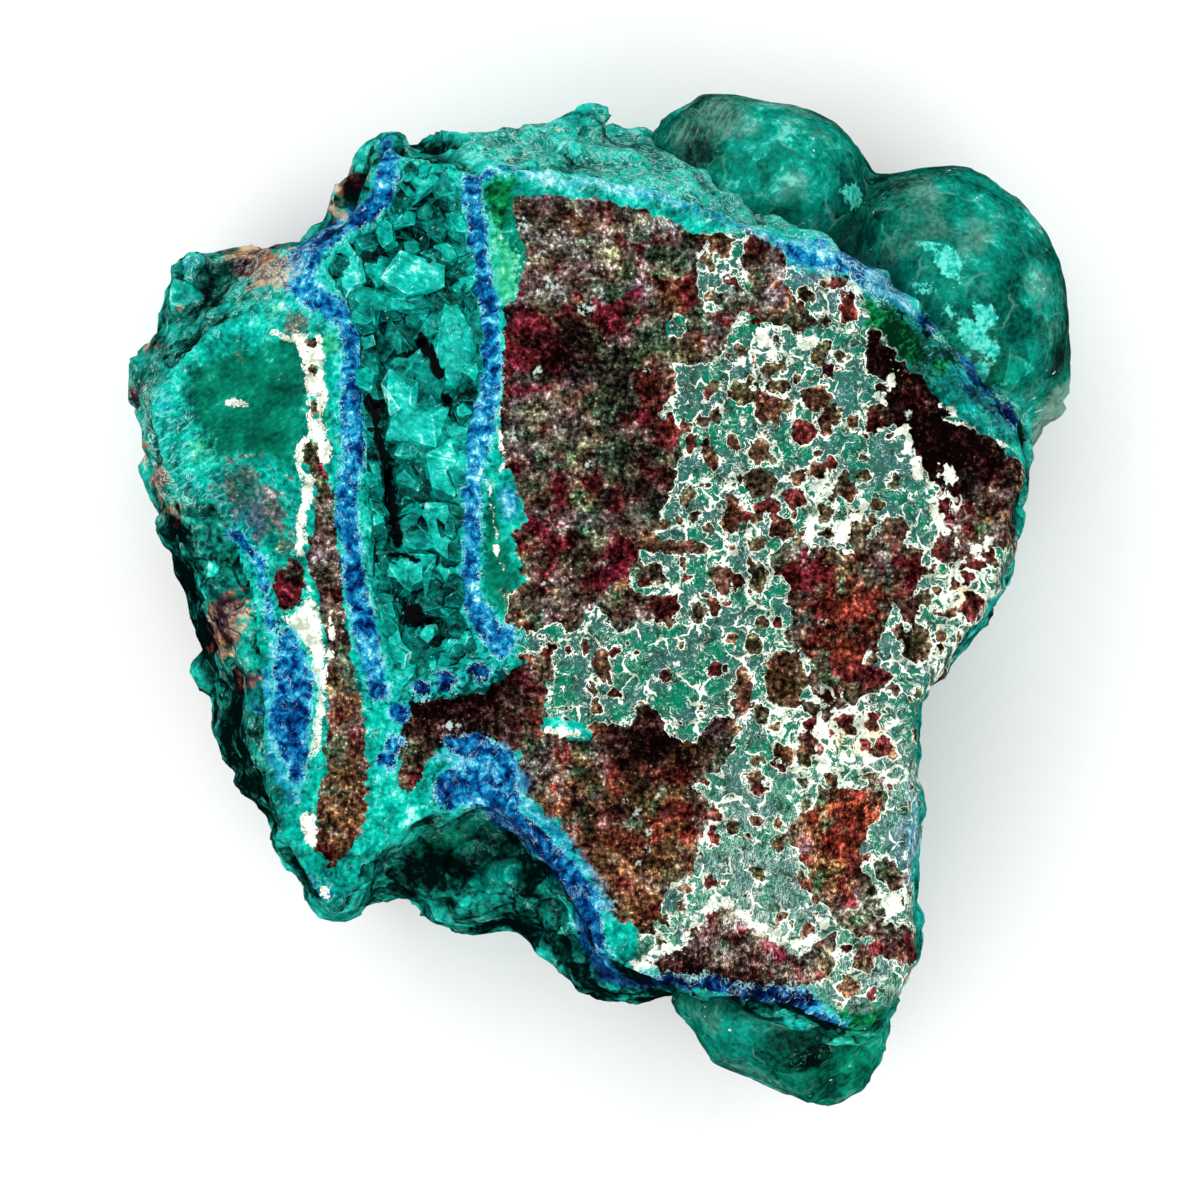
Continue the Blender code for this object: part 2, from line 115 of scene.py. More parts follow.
def move_points(mesh, points):
    mesh.vertices.foreach_set("co", (points * MM).ravel())
    mesh.update()


def inside_box(points):
    """The points, held inside the solid model's box."""
    low, high = (np.array(corner) / MM for corner in cad_box)
    return np.clip(points, low, high)


# How far each seed moves a pattern, and how a facet's number is spread to give it a tilt of its own.
FACET_STRIDE = (3.1, 7.7, 1.3)
FACET_SPREAD = 91.7
LUMP_STRIDE = (5.3, 2.9, 8.1)
# Roughness, step and octaves of the lumps' noise.
LUMP_NOISE = (0.7, 2.0, 4)


def facets(points, height, size, seed):
    """How far a surface of random flat facets, of about this size and height, lies off each point."""
    rise = np.empty(len(points))
    shift = Vector([seed * stride for stride in FACET_STRIDE])
    for i, point in enumerate(points):
        spot = Vector(point) / size + shift
        middle = noise.voronoi(spot)[1][0]
        tilt = noise.cell_vector(middle * FACET_SPREAD) * 2 - Vector((1, 1, 1))
        rise[i] = (spot - middle).dot(tilt)
    return height * (rise * size)


def lumps(points, height, size, seed):
    """Noise at each point, up to about the height on either side of 0, with lumps of about this size."""
    shift = Vector([seed * stride for stride in LUMP_STRIDE])
    return height * np.array([noise.fractal(Vector(point) / size + shift, *LUMP_NOISE) for point in points])


def softened(mesh, values, rounds):
    """The points' values, averaged with those of their neighbours, so that steps turn into short slopes."""
    ends = np.empty(2 * len(mesh.edges), int)
    mesh.edges.foreach_get("vertices", ends)
    first, second = ends.reshape(-1, 2).T
    count = np.bincount(ends, minlength=len(values)) + 1
    for _ in range(rounds):
        total = values + np.bincount(first, values[second], len(values))
        values = (total + np.bincount(second, values[first], len(values))) / count
    return values


FAR = 99.0


def side_of(points, outline):
    """Signed distance in millimetres from a closed outline, seen from above: positive inside it."""
    flat = points[:, :2]
    nearest = np.full(len(points), FAR)
    inside = np.zeros(len(points), bool)
    outline = np.array(outline, float)
    for start, end in zip(outline, np.roll(outline, -1, axis=0)):
        along = end - start
        share = np.clip(((flat - start) @ along) / (along @ along), 0, 1)
        nearest = np.minimum(nearest, np.linalg.norm(flat - start - share[:, None] * along, axis=1))
        if start[1] != end[1]:
            crosses = (start[1] > flat[:, 1]) != (end[1] > flat[:, 1])
            inside ^= crosses & (flat[:, 0] < start[0] + (flat[:, 1] - start[1]) / along[1] * along[0])
    return np.where(inside, nearest, -nearest)


def within_band(points, route):
    """Signed distance from a band along (x, y, half width) points: positive inside it."""
    route = np.array(route, float)
    best = np.full(len(points), -FAR)
    for start, end in zip(route[:-1], route[1:]):
        along = end[:2] - start[:2]
        share = np.clip(((points[:, :2] - start[:2]) @ along) / (along @ along), 0, 1)
        nearest = start[:2] + share[:, None] * along
        half = start[2] + share * (end[2] - start[2])
        best = np.maximum(best, half - np.linalg.norm(points[:, :2] - nearest, axis=1))
    return best


def within_spots(points, spots):
    """Signed distance from the nearest round spot (x, y, half width, half height): positive inside it."""
    best = np.full(len(points), -FAR)
    for x, y, wide, high in spots:
        reach = np.hypot((points[:, 0] - x) / wide, (points[:, 1] - y) / high)
        best = np.maximum(best, (1 - reach) * min(wide, high))
    return best


def glow(points, spots):
    """A soft field from 0 to 1 that is high near the spots, each (x, y, radius, strength)."""
    field = np.zeros(len(points))
    for x, y, radius, strength in spots:
        field += strength * np.exp(-((points[:, 0] - x) ** 2 + (points[:, 1] - y) ** 2) / radius ** 2)
    return np.clip(field, 0, 1)


def store(mesh, name, values):
    """Keeps one value for each point on the mesh, where a material can read it."""
    layer = mesh.attributes.new(name, "FLOAT", "POINT")
    layer.data.foreach_set("value", values.astype(np.float32))


# The edge of the polished face, then the minerals in it. All are (x, y) in millimetres.
FACE_EDGE = [
    (-27, 10.5), (-27, 12.2), (-25.9, 13.9), (-24.3, 15.9), (-21.9, 17.3), (-18.9, 18.6), (-17.1, 21),
    (-15.3, 22.7), (-13.9, 24), (-13.6, 26.9), (-12.9, 27.4), (-12.2, 27.3), (-11.7, 26.6), (-9.6, 26.4),
    (-7.2, 26.3), (-4.8, 26.1), (-2.4, 26), (0.6, 25.5), (3, 24.9), (6, 23.8), (9, 22.6), (12, 21.8),
    (14.1, 20.9), (15.6, 18.9), (17, 16.9), (19, 14.3), (21.3, 12.2), (23.6, 10.2), (25.4, 8.4),
    (25.5, 7.2), (25.1, 5.7), (24.9, 3.6), (24.4, 1.5), (22.3, -1.9), (20.5, -4.4), (19.1, -6.3),
    (19, -8.4), (18.8, -11.1), (19, -12.4), (18.8, -13.8), (18.8, -21.3), (18, -23.1), (17.7, -24.3),
    (16.8, -25.6), (14.4, -25.8), (11.4, -24.7), (8.4, -24), (5.4, -23.4), (2.4, -23.1), (0.3, -21.6),
    (-1.2, -19.2), (-2.4, -16.8), (-4.2, -15), (-5.5, -13), (-7.2, -12.4), (-10.2, -13.3), (-12.3, -14.7),
    (-14.1, -16.1), (-14.9, -17.7), (-16.2, -18.6), (-17.3, -18), (-18.1, -16.2), (-19, -14.4),
    (-19.8, -12), (-20.3, -9.6), (-20.3, -6), (-20.6, -2.4), (-21, 0.6), (-21.9, 3), (-23.1, 5.4),
    (-25.2, 6.3), (-26.4, 7.8),
]
IRONSTONE = [
    [(-5.2, 24.3), (-2, 24.2), (0.9, 23.9), (2.6, 23.4), (4.3, 22.7), (6, 21.9), (8, 21.6), (9.6, 21.8),
     (10.9, 21.2), (11.3, 20.2), (11.1, 19), (11.6, 18.2), (12.4, 17.4), (13, 16.6), (12, 16), (11, 16.3),
     (10.2, 16.4), (9.4, 17), (8.6, 17.2), (7.9, 16.4), (7.4, 15.6), (7.3, 14.7), (6.3, 14.2), (5, 14.1),
     (4.2, 14.3), (4.6, 13.3), (4.6, 12.4), (3.9, 11.7), (3.4, 11.1), (4.2, 10.9), (4.9, 10), (5, 8.8),
     (4.6, 7.8), (4.5, 7), (4, 6), (3.6, 5), (3.7, 4.3), (3, 4), (2.4, 3.5), (2.4, 2.7), (1.9, 1.8),
     (1.7, 0.8), (2.4, 0.3), (4.2, 0.4), (4.7, -0.4), (4.2, -1.3), (3.2, -1.2), (2, -1.2), (1.4, -2),
     (0.6, -1.6), (0.1, -0.6), (-0.4, 0.1), (-0.7, -0.8), (-1.3, -1.9), (-2, -2), (-2.4, -1.2),
     (-3.2, -1.4), (-3.7, -2), (-4.6, -1.6), (-5.3, -2), (-5.7, -1), (-5.2, 0.3), (-4.5, 1.2), (-5, 2.6),
     (-5.2, 4), (-4.4, 4.8), (-4.8, 5.8), (-5, 7), (-5.6, 7.9), (-5.9, 9), (-6, 10.5), (-5.9, 12.5),
     (-5.9, 14.5), (-5.8, 16), (-5.8, 17.5), (-5, 18.3), (-4.6, 19.4), (-4.2, 20.5), (-4.8, 21.8),
     (-5.2, 23)],
    [(9.9, 2.5), (10.8, 3), (11.6, 3.8), (12.3, 3.4), (13.4, 3.2), (14.4, 2.9), (15.4, 3.3), (16.4, 3.9),
     (17.2, 4.6), (18, 4.7), (18.5, 4.1), (18.1, 3.4), (19.3, 3), (19.5, 1.8), (19.1, 0.8), (18.7, 0),
     (18.9, -1.2), (18.3, -1.2), (17.6, -0.2), (17.2, -1.4), (16.7, -2.4), (16.1, -3.1), (15.7, -3.8),
     (16.6, -4.2), (17.4, -5), (16.6, -5.5), (15.6, -5.6), (15, -6.4), (14, -6.7), (13.2, -6), (12.5, -5),
     (12.4, -3.8), (12.5, -3), (11.6, -2.9), (11.1, -2.2), (11.6, -1.2), (11.2, -0.2), (11.3, 0.9),
     (10.6, 1.7)],
    [(-11.3, -6.1), (-9, -5.9), (-7.3, -5.6), (-6.3, -5), (-5.4, -4.4), (-4.2, -3.4), (-3.2, -3.2),
     (-2.6, -4), (-3.1, -5.2), (-3.2, -6.6), (-3.5, -7.7), (-2.2, -8.1), (-0.8, -8.4), (-0.1, -7.8),
     (1.6, -7.4), (2.4, -6.4), (3, -6.2), (3.6, -7), (4.2, -8), (5, -8.6), (5.8, -8.5), (6.3, -7.6),
     (6.9, -7.1), (7.9, -7), (8.1, -5.8), (8.4, -4.5), (9.2, -4.3), (9.1, -5.6), (8.8, -6.8), (8.2, -7.4),
     (8, -8.6), (7.6, -9.6), (7.2, -10.2), (6.4, -10.6), (5.6, -11.2), (6.2, -11.8), (6.6, -12.4),
     (6.5, -13.6), (5.9, -15), (5.3, -16.3), (4.6, -16.9), (4, -17.6), (3.6, -18.8), (3.2, -20), (2.4, -20),
     (1.6, -19.4), (0.6, -18.9), (0, -18), (-0.2, -17), (-1, -16), (-1.4, -15), (-2, -14.4), (-2.4, -13.2),
     (-3.2, -13), (-3.6, -12.2), (-4.4, -11.8), (-5.2, -11.2), (-5, -10.2), (-4.8, -9.2), (-5.8, -8.8),
     (-6.4, -8.3), (-7.2, -8.2), (-8, -8.4), (-9, -8.6), (-9.8, -9), (-10.4, -9.8), (-10.9, -10.8),
     (-11.6, -11.9), (-12.1, -11.2), (-12, -9.8), (-12.2, -8.8), (-11.8, -7.4)],
    [(16.1, 16.1), (16.8, 15.7), (17.6, 14.7), (18.6, 14), (19.6, 13.2), (20.3, 12.2), (20.7, 10.8),
     (22, 10.4), (23.4, 9.8), (24.6, 8.8), (25.5, 7.8), (25.6, 6), (25.2, 4.2), (24.6, 3), (23.4, 3.2),
     (22.4, 2.6), (21.2, 1.9), (20.2, 2.2), (20.1, 3.4), (20.5, 4.4), (20.7, 5.4), (20.2, 5.9), (20.1, 7),
     (19.7, 7.6), (19, 8.2), (18.6, 9.2), (18.4, 10), (17.6, 10.4), (17, 10.3), (16.5, 10), (16.1, 10.6),
     (16.3, 11.6), (17, 12), (17.3, 12.9), (16.6, 13.4), (16, 13.6), (15.9, 14.8)],
    [(13.3, -11.2), (15, -11.2), (16.3, -11.2), (16.9, -10.5), (17.2, -11.6), (16.9, -13), (16.1, -13.6),
     (15.8, -14.8), (15.6, -16), (16.2, -16.6), (16.9, -17.4), (17.2, -18.4), (17.1, -19.4), (18.6, -19.6),
     (19.2, -20.4), (19.1, -21.6), (18.2, -22), (17, -21.4), (16.4, -20.4), (15.2, -20), (14.2, -19.4),
     (13.6, -18.4), (12.9, -18), (12.6, -17), (12.2, -15.8), (11.8, -14.9), (10.4, -14.9), (10.2, -14.4),
     (11.2, -13.6), (12, -13), (12.9, -12.2)],
    [(16.2, -15.3), (17.2, -15.6), (18, -16.3), (18.8, -16.6), (18.2, -17), (17.2, -17), (16.5, -16.6)],
    [(4, -21), (5, -20.9), (5.8, -20), (6.4, -18.9), (7, -18.3), (7.8, -18.4), (8.6, -18.9), (9.6, -19.7),
     (10.6, -20.4), (11.4, -20.9), (12, -21.5), (12.6, -20.9), (13.4, -20.2), (14, -19.9), (14.2, -20.8),
     (14, -22), (13.8, -22.8), (12.4, -23), (11, -23.6), (9.6, -23.9), (8.4, -23.4), (6.4, -22.9),
     (4.8, -22.7), (3.6, -22.4), (3.2, -21.6)],
    [(-16.9, 9), (-16.4, 7.6), (-16, 6), (-15.8, 4), (-15.5, 2), (-15.3, 0), (-15.1, -2), (-14.9, -4),
     (-14.5, -5.4), (-14.2, -7), (-14, -9), (-14, -11), (-13.9, -12.6), (-14.4, -14), (-15.2, -15.2),
     (-16.2, -16), (-17, -15.2), (-17.2, -14), (-17, -12.8), (-16.9, -11.6), (-16.4, -10.6), (-16.4, -8.5),
     (-16.3, -6.5), (-16.6, -4.8), (-16.4, -3.2), (-16.6, -1.2), (-16.8, 0.4), (-17.2, 1.2), (-17.6, 2.4),
     (-17.4, 3.4), (-17.2, 4.6), (-17, 6), (-17.3, 7.6), (-17.6, 8.4)],
    [(-19.4, 1.8), (-18.6, 2.4), (-17.9, 2.2), (-17.7, 1), (-17.8, 0), (-18.4, -0.6), (-19.2, -0.7),
     (-19.5, 0.4)],
]
IRONSTONE_GAPS = [
    [(6.3, 22), (5.8, 20.5), (5.8, 19), (6.1, 17.9), (6.9, 16.8), (7.2, 17.4), (6.9, 18.3), (8.2, 18.8),
     (8.9, 18.4), (8.7, 19.6), (8.5, 20.6), (8.8, 21.4), (8.2, 21.8), (7.6, 21.2), (7.1, 20.6), (6.7, 21)],
    [(4, 16), (4.4, 17.2), (5, 17.2), (5.2, 16.2), (4.8, 15.7)],
    [(-2.9, -7.7), (-3, -5.6), (-2.2, -5), (-1.5, -4), (-0.9, -5.5), (-0.2, -6), (-0.7, -7.4), (-1.6, -7.9)],
    [(-6, 6.8), (-5, 6.5), (-4.8, 5.2), (-5.6, 4.6), (-6.1, 5.2)],
]
# Small lumps of ironstone in the white web: (x, y, half width, half height). Those of one list share a tone.
OLIVE_LUMPS = [
    (6.5, 20.2, 0.5, 0.4), (5.2, 15, 0.7, 0.8), (8.5, 14.9, 0.4, 0.35), (13.2, 14.7, 0.5, 0.8),
    (14.4, 14.6, 0.4, 0.4), (10.3, 13.8, 0.45, 0.55), (9.4, 13, 0.35, 0.3), (8.6, 12.3, 0.7, 0.55),
    (10.4, 12.8, 0.4, 0.5), (11.2, 11.6, 0.3, 0.5), (14.3, 11, 0.3, 0.3), (16.9, 12.7, 0.4, 0.3),
    (6.9, 10.9, 0.4, 0.45), (6.1, 10.7, 0.3, 0.25), (8.3, 7.2, 0.3, 0.5), (9.6, 7, 1, 0.9),
    (14.7, 6.9, 0.5, 0.7), (14, 6.2, 0.35, 0.4), (15.7, 7.5, 0.35, 0.4), (5.3, 6.4, 0.45, 0.35),
    (13.5, 5, 0.4, 0.5), (9.4, 3.5, 0.5, 0.4), (9.5, 1.3, 0.55, 0.9), (15.4, 4.2, 0.7, 1.2),
    (6, 3.1, 0.35, 0.4), (3, 1.6, 1, 0.6), (6, -0.7, 0.5, 0.6), (9.7, -1.4, 0.45, 0.35),
    (9.3, -2.7, 0.6, 0.6), (12.7, -6.6, 0.5, 0.4), (16.3, -3.6, 0.35, 0.4), (9.4, -10.8, 0.55, 0.45),
    (21.5, -2.8, 0.3, 0.3), (19, -2.6, 0.8, 1.1), (5.6, 5, 0.3, 0.3), (8, 9.8, 0.3, 0.25),
    (-17.3, 15.4, 0.45, 0.5), (-17.3, 13.8, 0.45, 0.5), (-17.1, 11.5, 0.4, 0.6), (-17.4, 8.8, 0.6, 0.9),
]
BROWN_LUMPS = [
    (7.2, 21.3, 0.6, 0.8), (13, 12.1, 0.9, 0.8), (13.6, 10.8, 0.45, 0.9), (9.8, 11.6, 0.55, 0.9),
    (10.5, 11.5, 0.45, 0.8), (9.6, 8.9, 0.6, 0.8), (6.6, 8.6, 0.55, 0.7), (4.1, 13.2, 0.5, 0.8),
    (11.8, 7.3, 0.5, 0.4), (13, 7.8, 0.7, 0.5), (7.9, 4.9, 0.6, 0.9), (11, 4.3, 0.8, 0.7), (7.4, 1, 0.5, 1),
    (5, 3.2, 0.65, 0.4), (3, 3.5, 0.7, 0.6), (0, -3.8, 0.5, 0.9), (8.7, -5.5, 0.5, 1.3),
    (11.1, -4.8, 1.3, 1.7), (12.4, -8.7, 0.6, 0.8), (16.3, -7.5, 0.4, 0.4), (11.2, -9.5, 0.4, 0.5),
    (18.6, -0.6, 0.5, 0.8), (21.2, 0.9, 0.3, 0.3), (20.8, -0.8, 0.35, 0.3), (13, -17.9, 0.3, 0.3),
    (15.8, -21.4, 0.6, 0.9), (15, -23.2, 0.6, 0.7), (17.9, -21, 0.4, 0.5), (13.6, 4, 0.45, 0.4),
    (17.6, 4.2, 0.9, 0.8),
]
MAROON_LUMPS = [
    (9.3, 21.3, 0.7, 0.5), (14.4, 19.2, 0.6, 0.5), (14.9, 17.5, 0.5, 1.1), (12.2, 10.1, 0.8, 0.75),
    (16.5, 10.8, 0.5, 0.6), (3, 12.8, 0.8, 1.2), (4, 10, 0.7, 1.2), (8.8, 5, 0.28, 0.5),
    (9.9, 5.6, 0.9, 0.4), (11.6, 6.1, 0.7, 0.6), (3.9, -0.4, 0.8, 0.8), (12.6, -7.5, 0.5, 0.35),
    (14.6, -7.2, 0.8, 0.4), (16.6, -4.6, 0.9, 0.6), (15.9, -8.8, 0.4, 0.35), (17, -8.8, 0.5, 0.6),
    (22.3, -0.4, 0.7, 0.9), (20.6, 5.2, 0.35, 0.6), (20.5, 2.8, 0.5, 0.6), (22.5, 2.1, 0.9, 0.3),
    (23.3, 2.8, 0.4, 0.4), (14, -8, 0.25, 0.25),
]
BLUE_BANDS = [
    [(-14.9, 17, 0.7), (-14.8, 15, 0.65), (-14.9, 13, 0.65), (-14.9, 11, 0.7), (-14.7, 9.5, 0.7),
     (-14.9, 8, 0.65), (-15.2, 6.5, 0.6), (-15.2, 5, 0.6), (-14.9, 3, 0.6), (-14.8, 1, 0.65),
     (-14.3, -1, 0.7), (-14, -2.5, 0.7), (-13.6, -4, 0.6), (-13.2, -5.5, 0.6)],
    [(-12.8, 27.6, 0.7), (-12.7, 26, 0.7), (-12.9, 24.8, 0.75), (-13.8, 23.6, 0.8), (-15.4, 22.8, 0.8),
     (-16.6, 21.9, 0.8), (-17.6, 20.8, 0.9), (-18.2, 19.6, 1), (-17.4, 18.4, 0.8), (-16.2, 17.6, 0.7),
     (-15.3, 17, 0.7)],
    [(-7.9, 25, 0.5), (-7.6, 23.5, 0.55), (-7.3, 22, 0.6), (-7.2, 20.5, 0.6), (-7.1, 19, 0.6),
     (-6.6, 17.5, 0.6), (-6.6, 14, 0.65), (-6.6, 12.5, 0.65), (-7.1, 11, 0.8), (-7.4, 9.5, 0.9),
     (-7.7, 8, 0.65), (-7.7, 4, 0.5), (-7.8, 1, 0.5), (-7.6, -0.3, 0.6), (-6.8, -1.5, 0.7), (-6, -2.6, 0.8),
     (-5.6, -2.2, 0.7)],
    [(-7.5, 25.2, 0.3), (-6.5, 25.7, 0.25), (-5, 26.1, 0.15)],
    [(10.8, 21.4, 0.2), (12, 20.7, 0.6), (15, 20.1, 0.5), (17.4, 18.6, 0.3), (19.8, 16.3, 0.1)],
    [(21.4, 15.2, 0.2), (21.9, 14.7, 0.3), (22.5, 13.5, 0.3)], [(24.4, 11.4, 0.2), (24.8, 10.6, 0.3)],
    [(-9, -8.6, 0.4), (-7.6, -8.9, 0.9), (-6.3, -10, 1.2), (-6, -12, 1.2), (-6, -13, 0.9), (-4, -14.5, 0.8),
     (-3, -15.5, 0.85), (-2, -16.5, 0.9), (-1, -18, 0.9), (-0.8, -19.5, 0.9), (-0.5, -21, 0.9),
     (0.2, -22.3, 0.8), (1.5, -23, 0.6), (4, -23, 0.45), (7, -23, 0.45), (8.5, -23.6, 0.5),
     (12, -23.8, 0.6), (13, -24.8, 0.5), (14.5, -25.8, 0.4)],
    [(-18.7, -2.6, 0.7), (-18.4, -5, 1.2), (-18.6, -7.5, 1.2), (-18.3, -9.5, 0.8), (-18.2, -10.8, 0.3)],
    [(-22, 4, 0.2), (-20.5, 2.5, 0.25), (-20, 0, 0.2), (-19.6, -1.6, 0.3)],
]
BLUE_SPOTS = [
    (-12, -6.8, 0.6, 0.6), (-12.4, -8.6, 0.55, 0.6), (-12.8, -9.6, 0.5, 0.6), (-10.7, -5.3, 0.6, 0.6),
    (-9.2, -4.8, 0.65, 0.6), (-7.2, -4.3, 0.65, 0.6), (-7.4, -10.8, 1.6, 1.6), (-9, -11.4, 1, 1.2),
]
MIST_BANDS = [
    [(-5, 25.8, 0.2), (-3, 25.2, 0.35), (1, 24.8, 0.35), (4, 24.1, 0.4), (6, 23.5, 0.35), (9.6, 22.2, 0.4),
     (12, 21.2, 0.5), (15, 20.4, 0.4)],
    [(-4.6, -12.4, 0.6), (-2.8, -14.4, 0.8), (-1.2, -16.4, 0.7), (0.4, -18.4, 0.5)],
    [(-9.4, -9.4, 0.3), (-7.4, -8.6, 0.4), (-5.6, -9.4, 0.5), (-4.6, -11, 0.5)],
    [(18.7, -10.8, 0.1), (18.8, -14, 0.3), (18.6, -17, 0.1)],
    [(-19, -3, 0.8), (-19, -5, 1.5), (-19, -7.5, 1.6), (-18.7, -10, 1.1), (-18.3, -11.8, 0.5)],
    [(-5.6, 6.4, 0.5), (-5.4, 5.4, 0.5)],
]
WHITE_SHAPES = [
    [(-20.1, 15.9), (-19.3, 16.2), (-18.6, 15.9), (-17.3, 16), (-16.8, 15.9), (-16.6, 14.6), (-16.5, 13),
     (-16.3, 12.4), (-16.6, 11), (-16.4, 10), (-16.1, 9), (-16, 8.4), (-16.3, 8), (-16.8, 8.3), (-17, 9.5),
     (-17.7, 9.3), (-17.8, 8), (-17.7, 6.4), (-17.9, 6.2), (-18.1, 7.4), (-18.3, 8.4), (-18.1, 9.4),
     (-17.5, 10.1), (-17.5, 11), (-17.6, 12.2), (-17.7, 13.2), (-18, 14.2), (-18.2, 15.4)],
    [(-19.1, -1), (-18.4, -0.9), (-17.7, -0.2), (-17.5, 0.9), (-17.1, 0), (-16.9, -0.8), (-16.6, -2),
     (-16.4, -3.2), (-16.3, -4.6), (-16.6, -7.2), (-16.8, -8.4), (-17.1, -9.4), (-17.5, -10.2),
     (-17.8, -10.1), (-17.4, -8.2), (-16.9, -5.5), (-17.4, -3.4), (-18.2, -2)],
    [(-18, -12.8), (-17.5, -12.5), (-17, -13), (-16.9, -14), (-17.1, -14.8), (-17.6, -14.6), (-18, -13.6)],
]
WHITE_LINES = [
    [(-17.45, 7.2, 0.3), (-17.8, 5.2, 0.3), (-17.95, 4, 0.28), (-18, 2.8, 0.3)],
    [(-16.2, -1, 0.12), (-16.1, -3.3, 0.1)],
    [(2.2, -22, 0.25), (3, -21.3, 0.25), (4, -20.9, 0.2), (4.6, -20.8, 0.2), (5.4, -19.6, 0.2),
     (6.2, -18.6, 0.2), (6.8, -18.1, 0.25), (7.6, -18.2, 0.2), (9.3, -19.4, 0.2), (11.2, -20.6, 0.2),
     (12, -21.1, 0.2), (12.6, -20.4, 0.2), (13.3, -19.6, 0.2), (13.8, -19.3, 0.2)],
    [(9.4, 16.1, 0.25), (10, 15.4, 0.4), (10.6, 14.5, 0.15)],
    [(17, 10.2, 0.15), (18.4, 10.1, 0.2), (18.5, 9, 0.2), (18.9, 8, 0.3), (19.2, 7.4, 0.3)],
    [(15.7, 5.3, 0.15), (14.3, 4.2, 0.35), (14.9, 2.9, 0.2)],
    [(20, 6.8, 0.15), (20, 5, 0.2), (20.6, 4.4, 0.25), (22.4, 3, 0.2), (23.5, 3.6, 0.1)],
    [(8.7, 4.5, 0.2), (9.3, 3.9, 0.3)],
    [(-6.9, 7.5, 0.05), (-6.4, 5.5, 0.05), (-6.2, 4, 0.08), (-6.2, 2.7, 0.1), (-5.7, 1.6, 0.08)],
    [(-6.1, 12, 0.07), (-6.1, 10, 0.07), (-5.7, 8.3, 0.07), (-6, 7.7, 0.07)],
    [(-3.2, -7.8, 0.15), (-2, -8, 0.3), (-0.8, -8.2, 0.15)],
    [(19.8, 13, -0.06), (20.8, 11.4, 0.04), (22, 10.5, -0.04), (23.4, 10, 0.03), (24.6, 9, 0.0)],
    [(-8.2, 28, 0.08), (-6.8, 27, 0.1), (-6, 27, 0.06), (-3, 26.8, 0.08), (0, 26.5, 0.06), (2, 26, 0.04)],
]
WHITE_SPOTS = [
    (12.6, 15.5, 0.6, 0.4), (8.4, 14.2, 0.4, 0.3), (16.8, 12.1, 0.3, 0.25), (13.3, 6.5, 0.6, 0.5),
    (12.6, 4.3, 0.3, 0.9), (20.8, 7.6, 0.45, 0.6), (17.5, 13.3, 0.35, 0.7), (17.7, -18.3, 0.6, 0.8),
    (-16.5, -17.6, 0.3, 0.4), (-14.1, 26.1, 0.3, 0.4), (-21.8, 11.8, 0.6, 0.28),
]
WHITE_HOLES = [
    (-17.3, 15.4, 0.3, 0.35), (-17.3, 13.8, 0.33, 0.35), (-17.1, 11.5, 0.25, 0.5), (-17.4, 8.8, 0.45, 0.7),
]
# Where the white web runs through the ironstone, over a grey-green ground.
WEB_GROUND = [
    (5.6, 21.8), (9, 22.3), (11, 20.5), (13.6, 19.9), (15.2, 19.9), (16.2, 16.6), (20.5, 11.6), (25.5, 8.2),
    (25.2, 2), (21, -4.5), (19.2, -8), (19.2, -24), (14, -25), (8, -23.4), (2, -22.6), (2.4, -20),
    (3.4, -14), (0, -8), (-3.4, -6.6), (-3.4, -4.6), (-5.6, -2.6), (-5.9, 0.6), (-4, 0.6), (1, 0.6),
    (2.2, 4), (3.2, 9), (3.2, 11), (3.6, 14), (4, 17.4), (5.6, 18.4),
]
# Clear green dioptase cut through by the saw: the wide field at the left, the corner at the foot, and slips.
GREEN_GLASS = [
    [(-22.6, 14.6), (-21, 14.6), (-19.6, 15.4), (-18.2, 15.6), (-17.9, 14.5), (-17.9, 12), (-17.7, 10.2),
     (-18.2, 9.3), (-18.6, 8.3), (-20.5, 8.9), (-22.8, 8.9), (-23.4, 10), (-24, 11), (-24.6, 12.5),
     (-24, 14)],
    [(13.9, -22.6), (15.8, -22.8), (18.8, -22), (18.6, -24), (16.8, -25.8), (14, -25.6)],
    [(-7, 25.2), (-5.2, 25.6), (-5, 24.3), (-4.4, 23), (-5.8, 22.2), (-5, 21.6), (-4.4, 19.8), (-5.6, 17.6),
     (-6.5, 18), (-6.8, 20), (-7, 22)],
    [(-7.1, 7.5), (-6.2, 4.6), (-5.4, 1.6), (-5.3, -0.8), (-7, -0.2), (-7.1, 3)],
    [(13, 18.8), (14, 18.6), (16, 18.6), (18.4, 16.8), (18.4, 15.4), (16.6, 16), (15, 16.4), (12.4, 17.4)],
]
# Pale specks in the ironstone: (x, y, half width, half height).
PALE_SPOTS = [
    (-1.9, -10, 0.35, 0.3), (1.5, -12, 0.3, 0.3), (2.3, -12.7, 0.35, 0.3), (2.9, -13.9, 0.3, 0.35),
    (2.9, -15, 0.3, 0.3), (2.2, -15.8, 0.3, 0.3), (-3, 19, 0.7, 0.4), (-0.7, 17.5, 0.7, 0.5),
    (-3.8, 13.8, 0.3, 0.35), (-5.3, 10, 0.35, 0.6), (-0.8, 8.2, 0.4, 0.3), (-4.8, 22.6, 0.5, 0.6),
    (-9, -7.6, 0.8, 0.4), (18.6, 11.2, 0.25, 0.4), (2.6, 13.8, 0.5, 0.25), (0.2, 9.4, 0.3, 0.25),
    (-5.2, 5.4, 0.4, 0.5), (-3.4, 1, 0.3, 0.3), (15.8, 1, 0.35, 0.3), (13.4, -1.2, 0.3, 0.3),
]
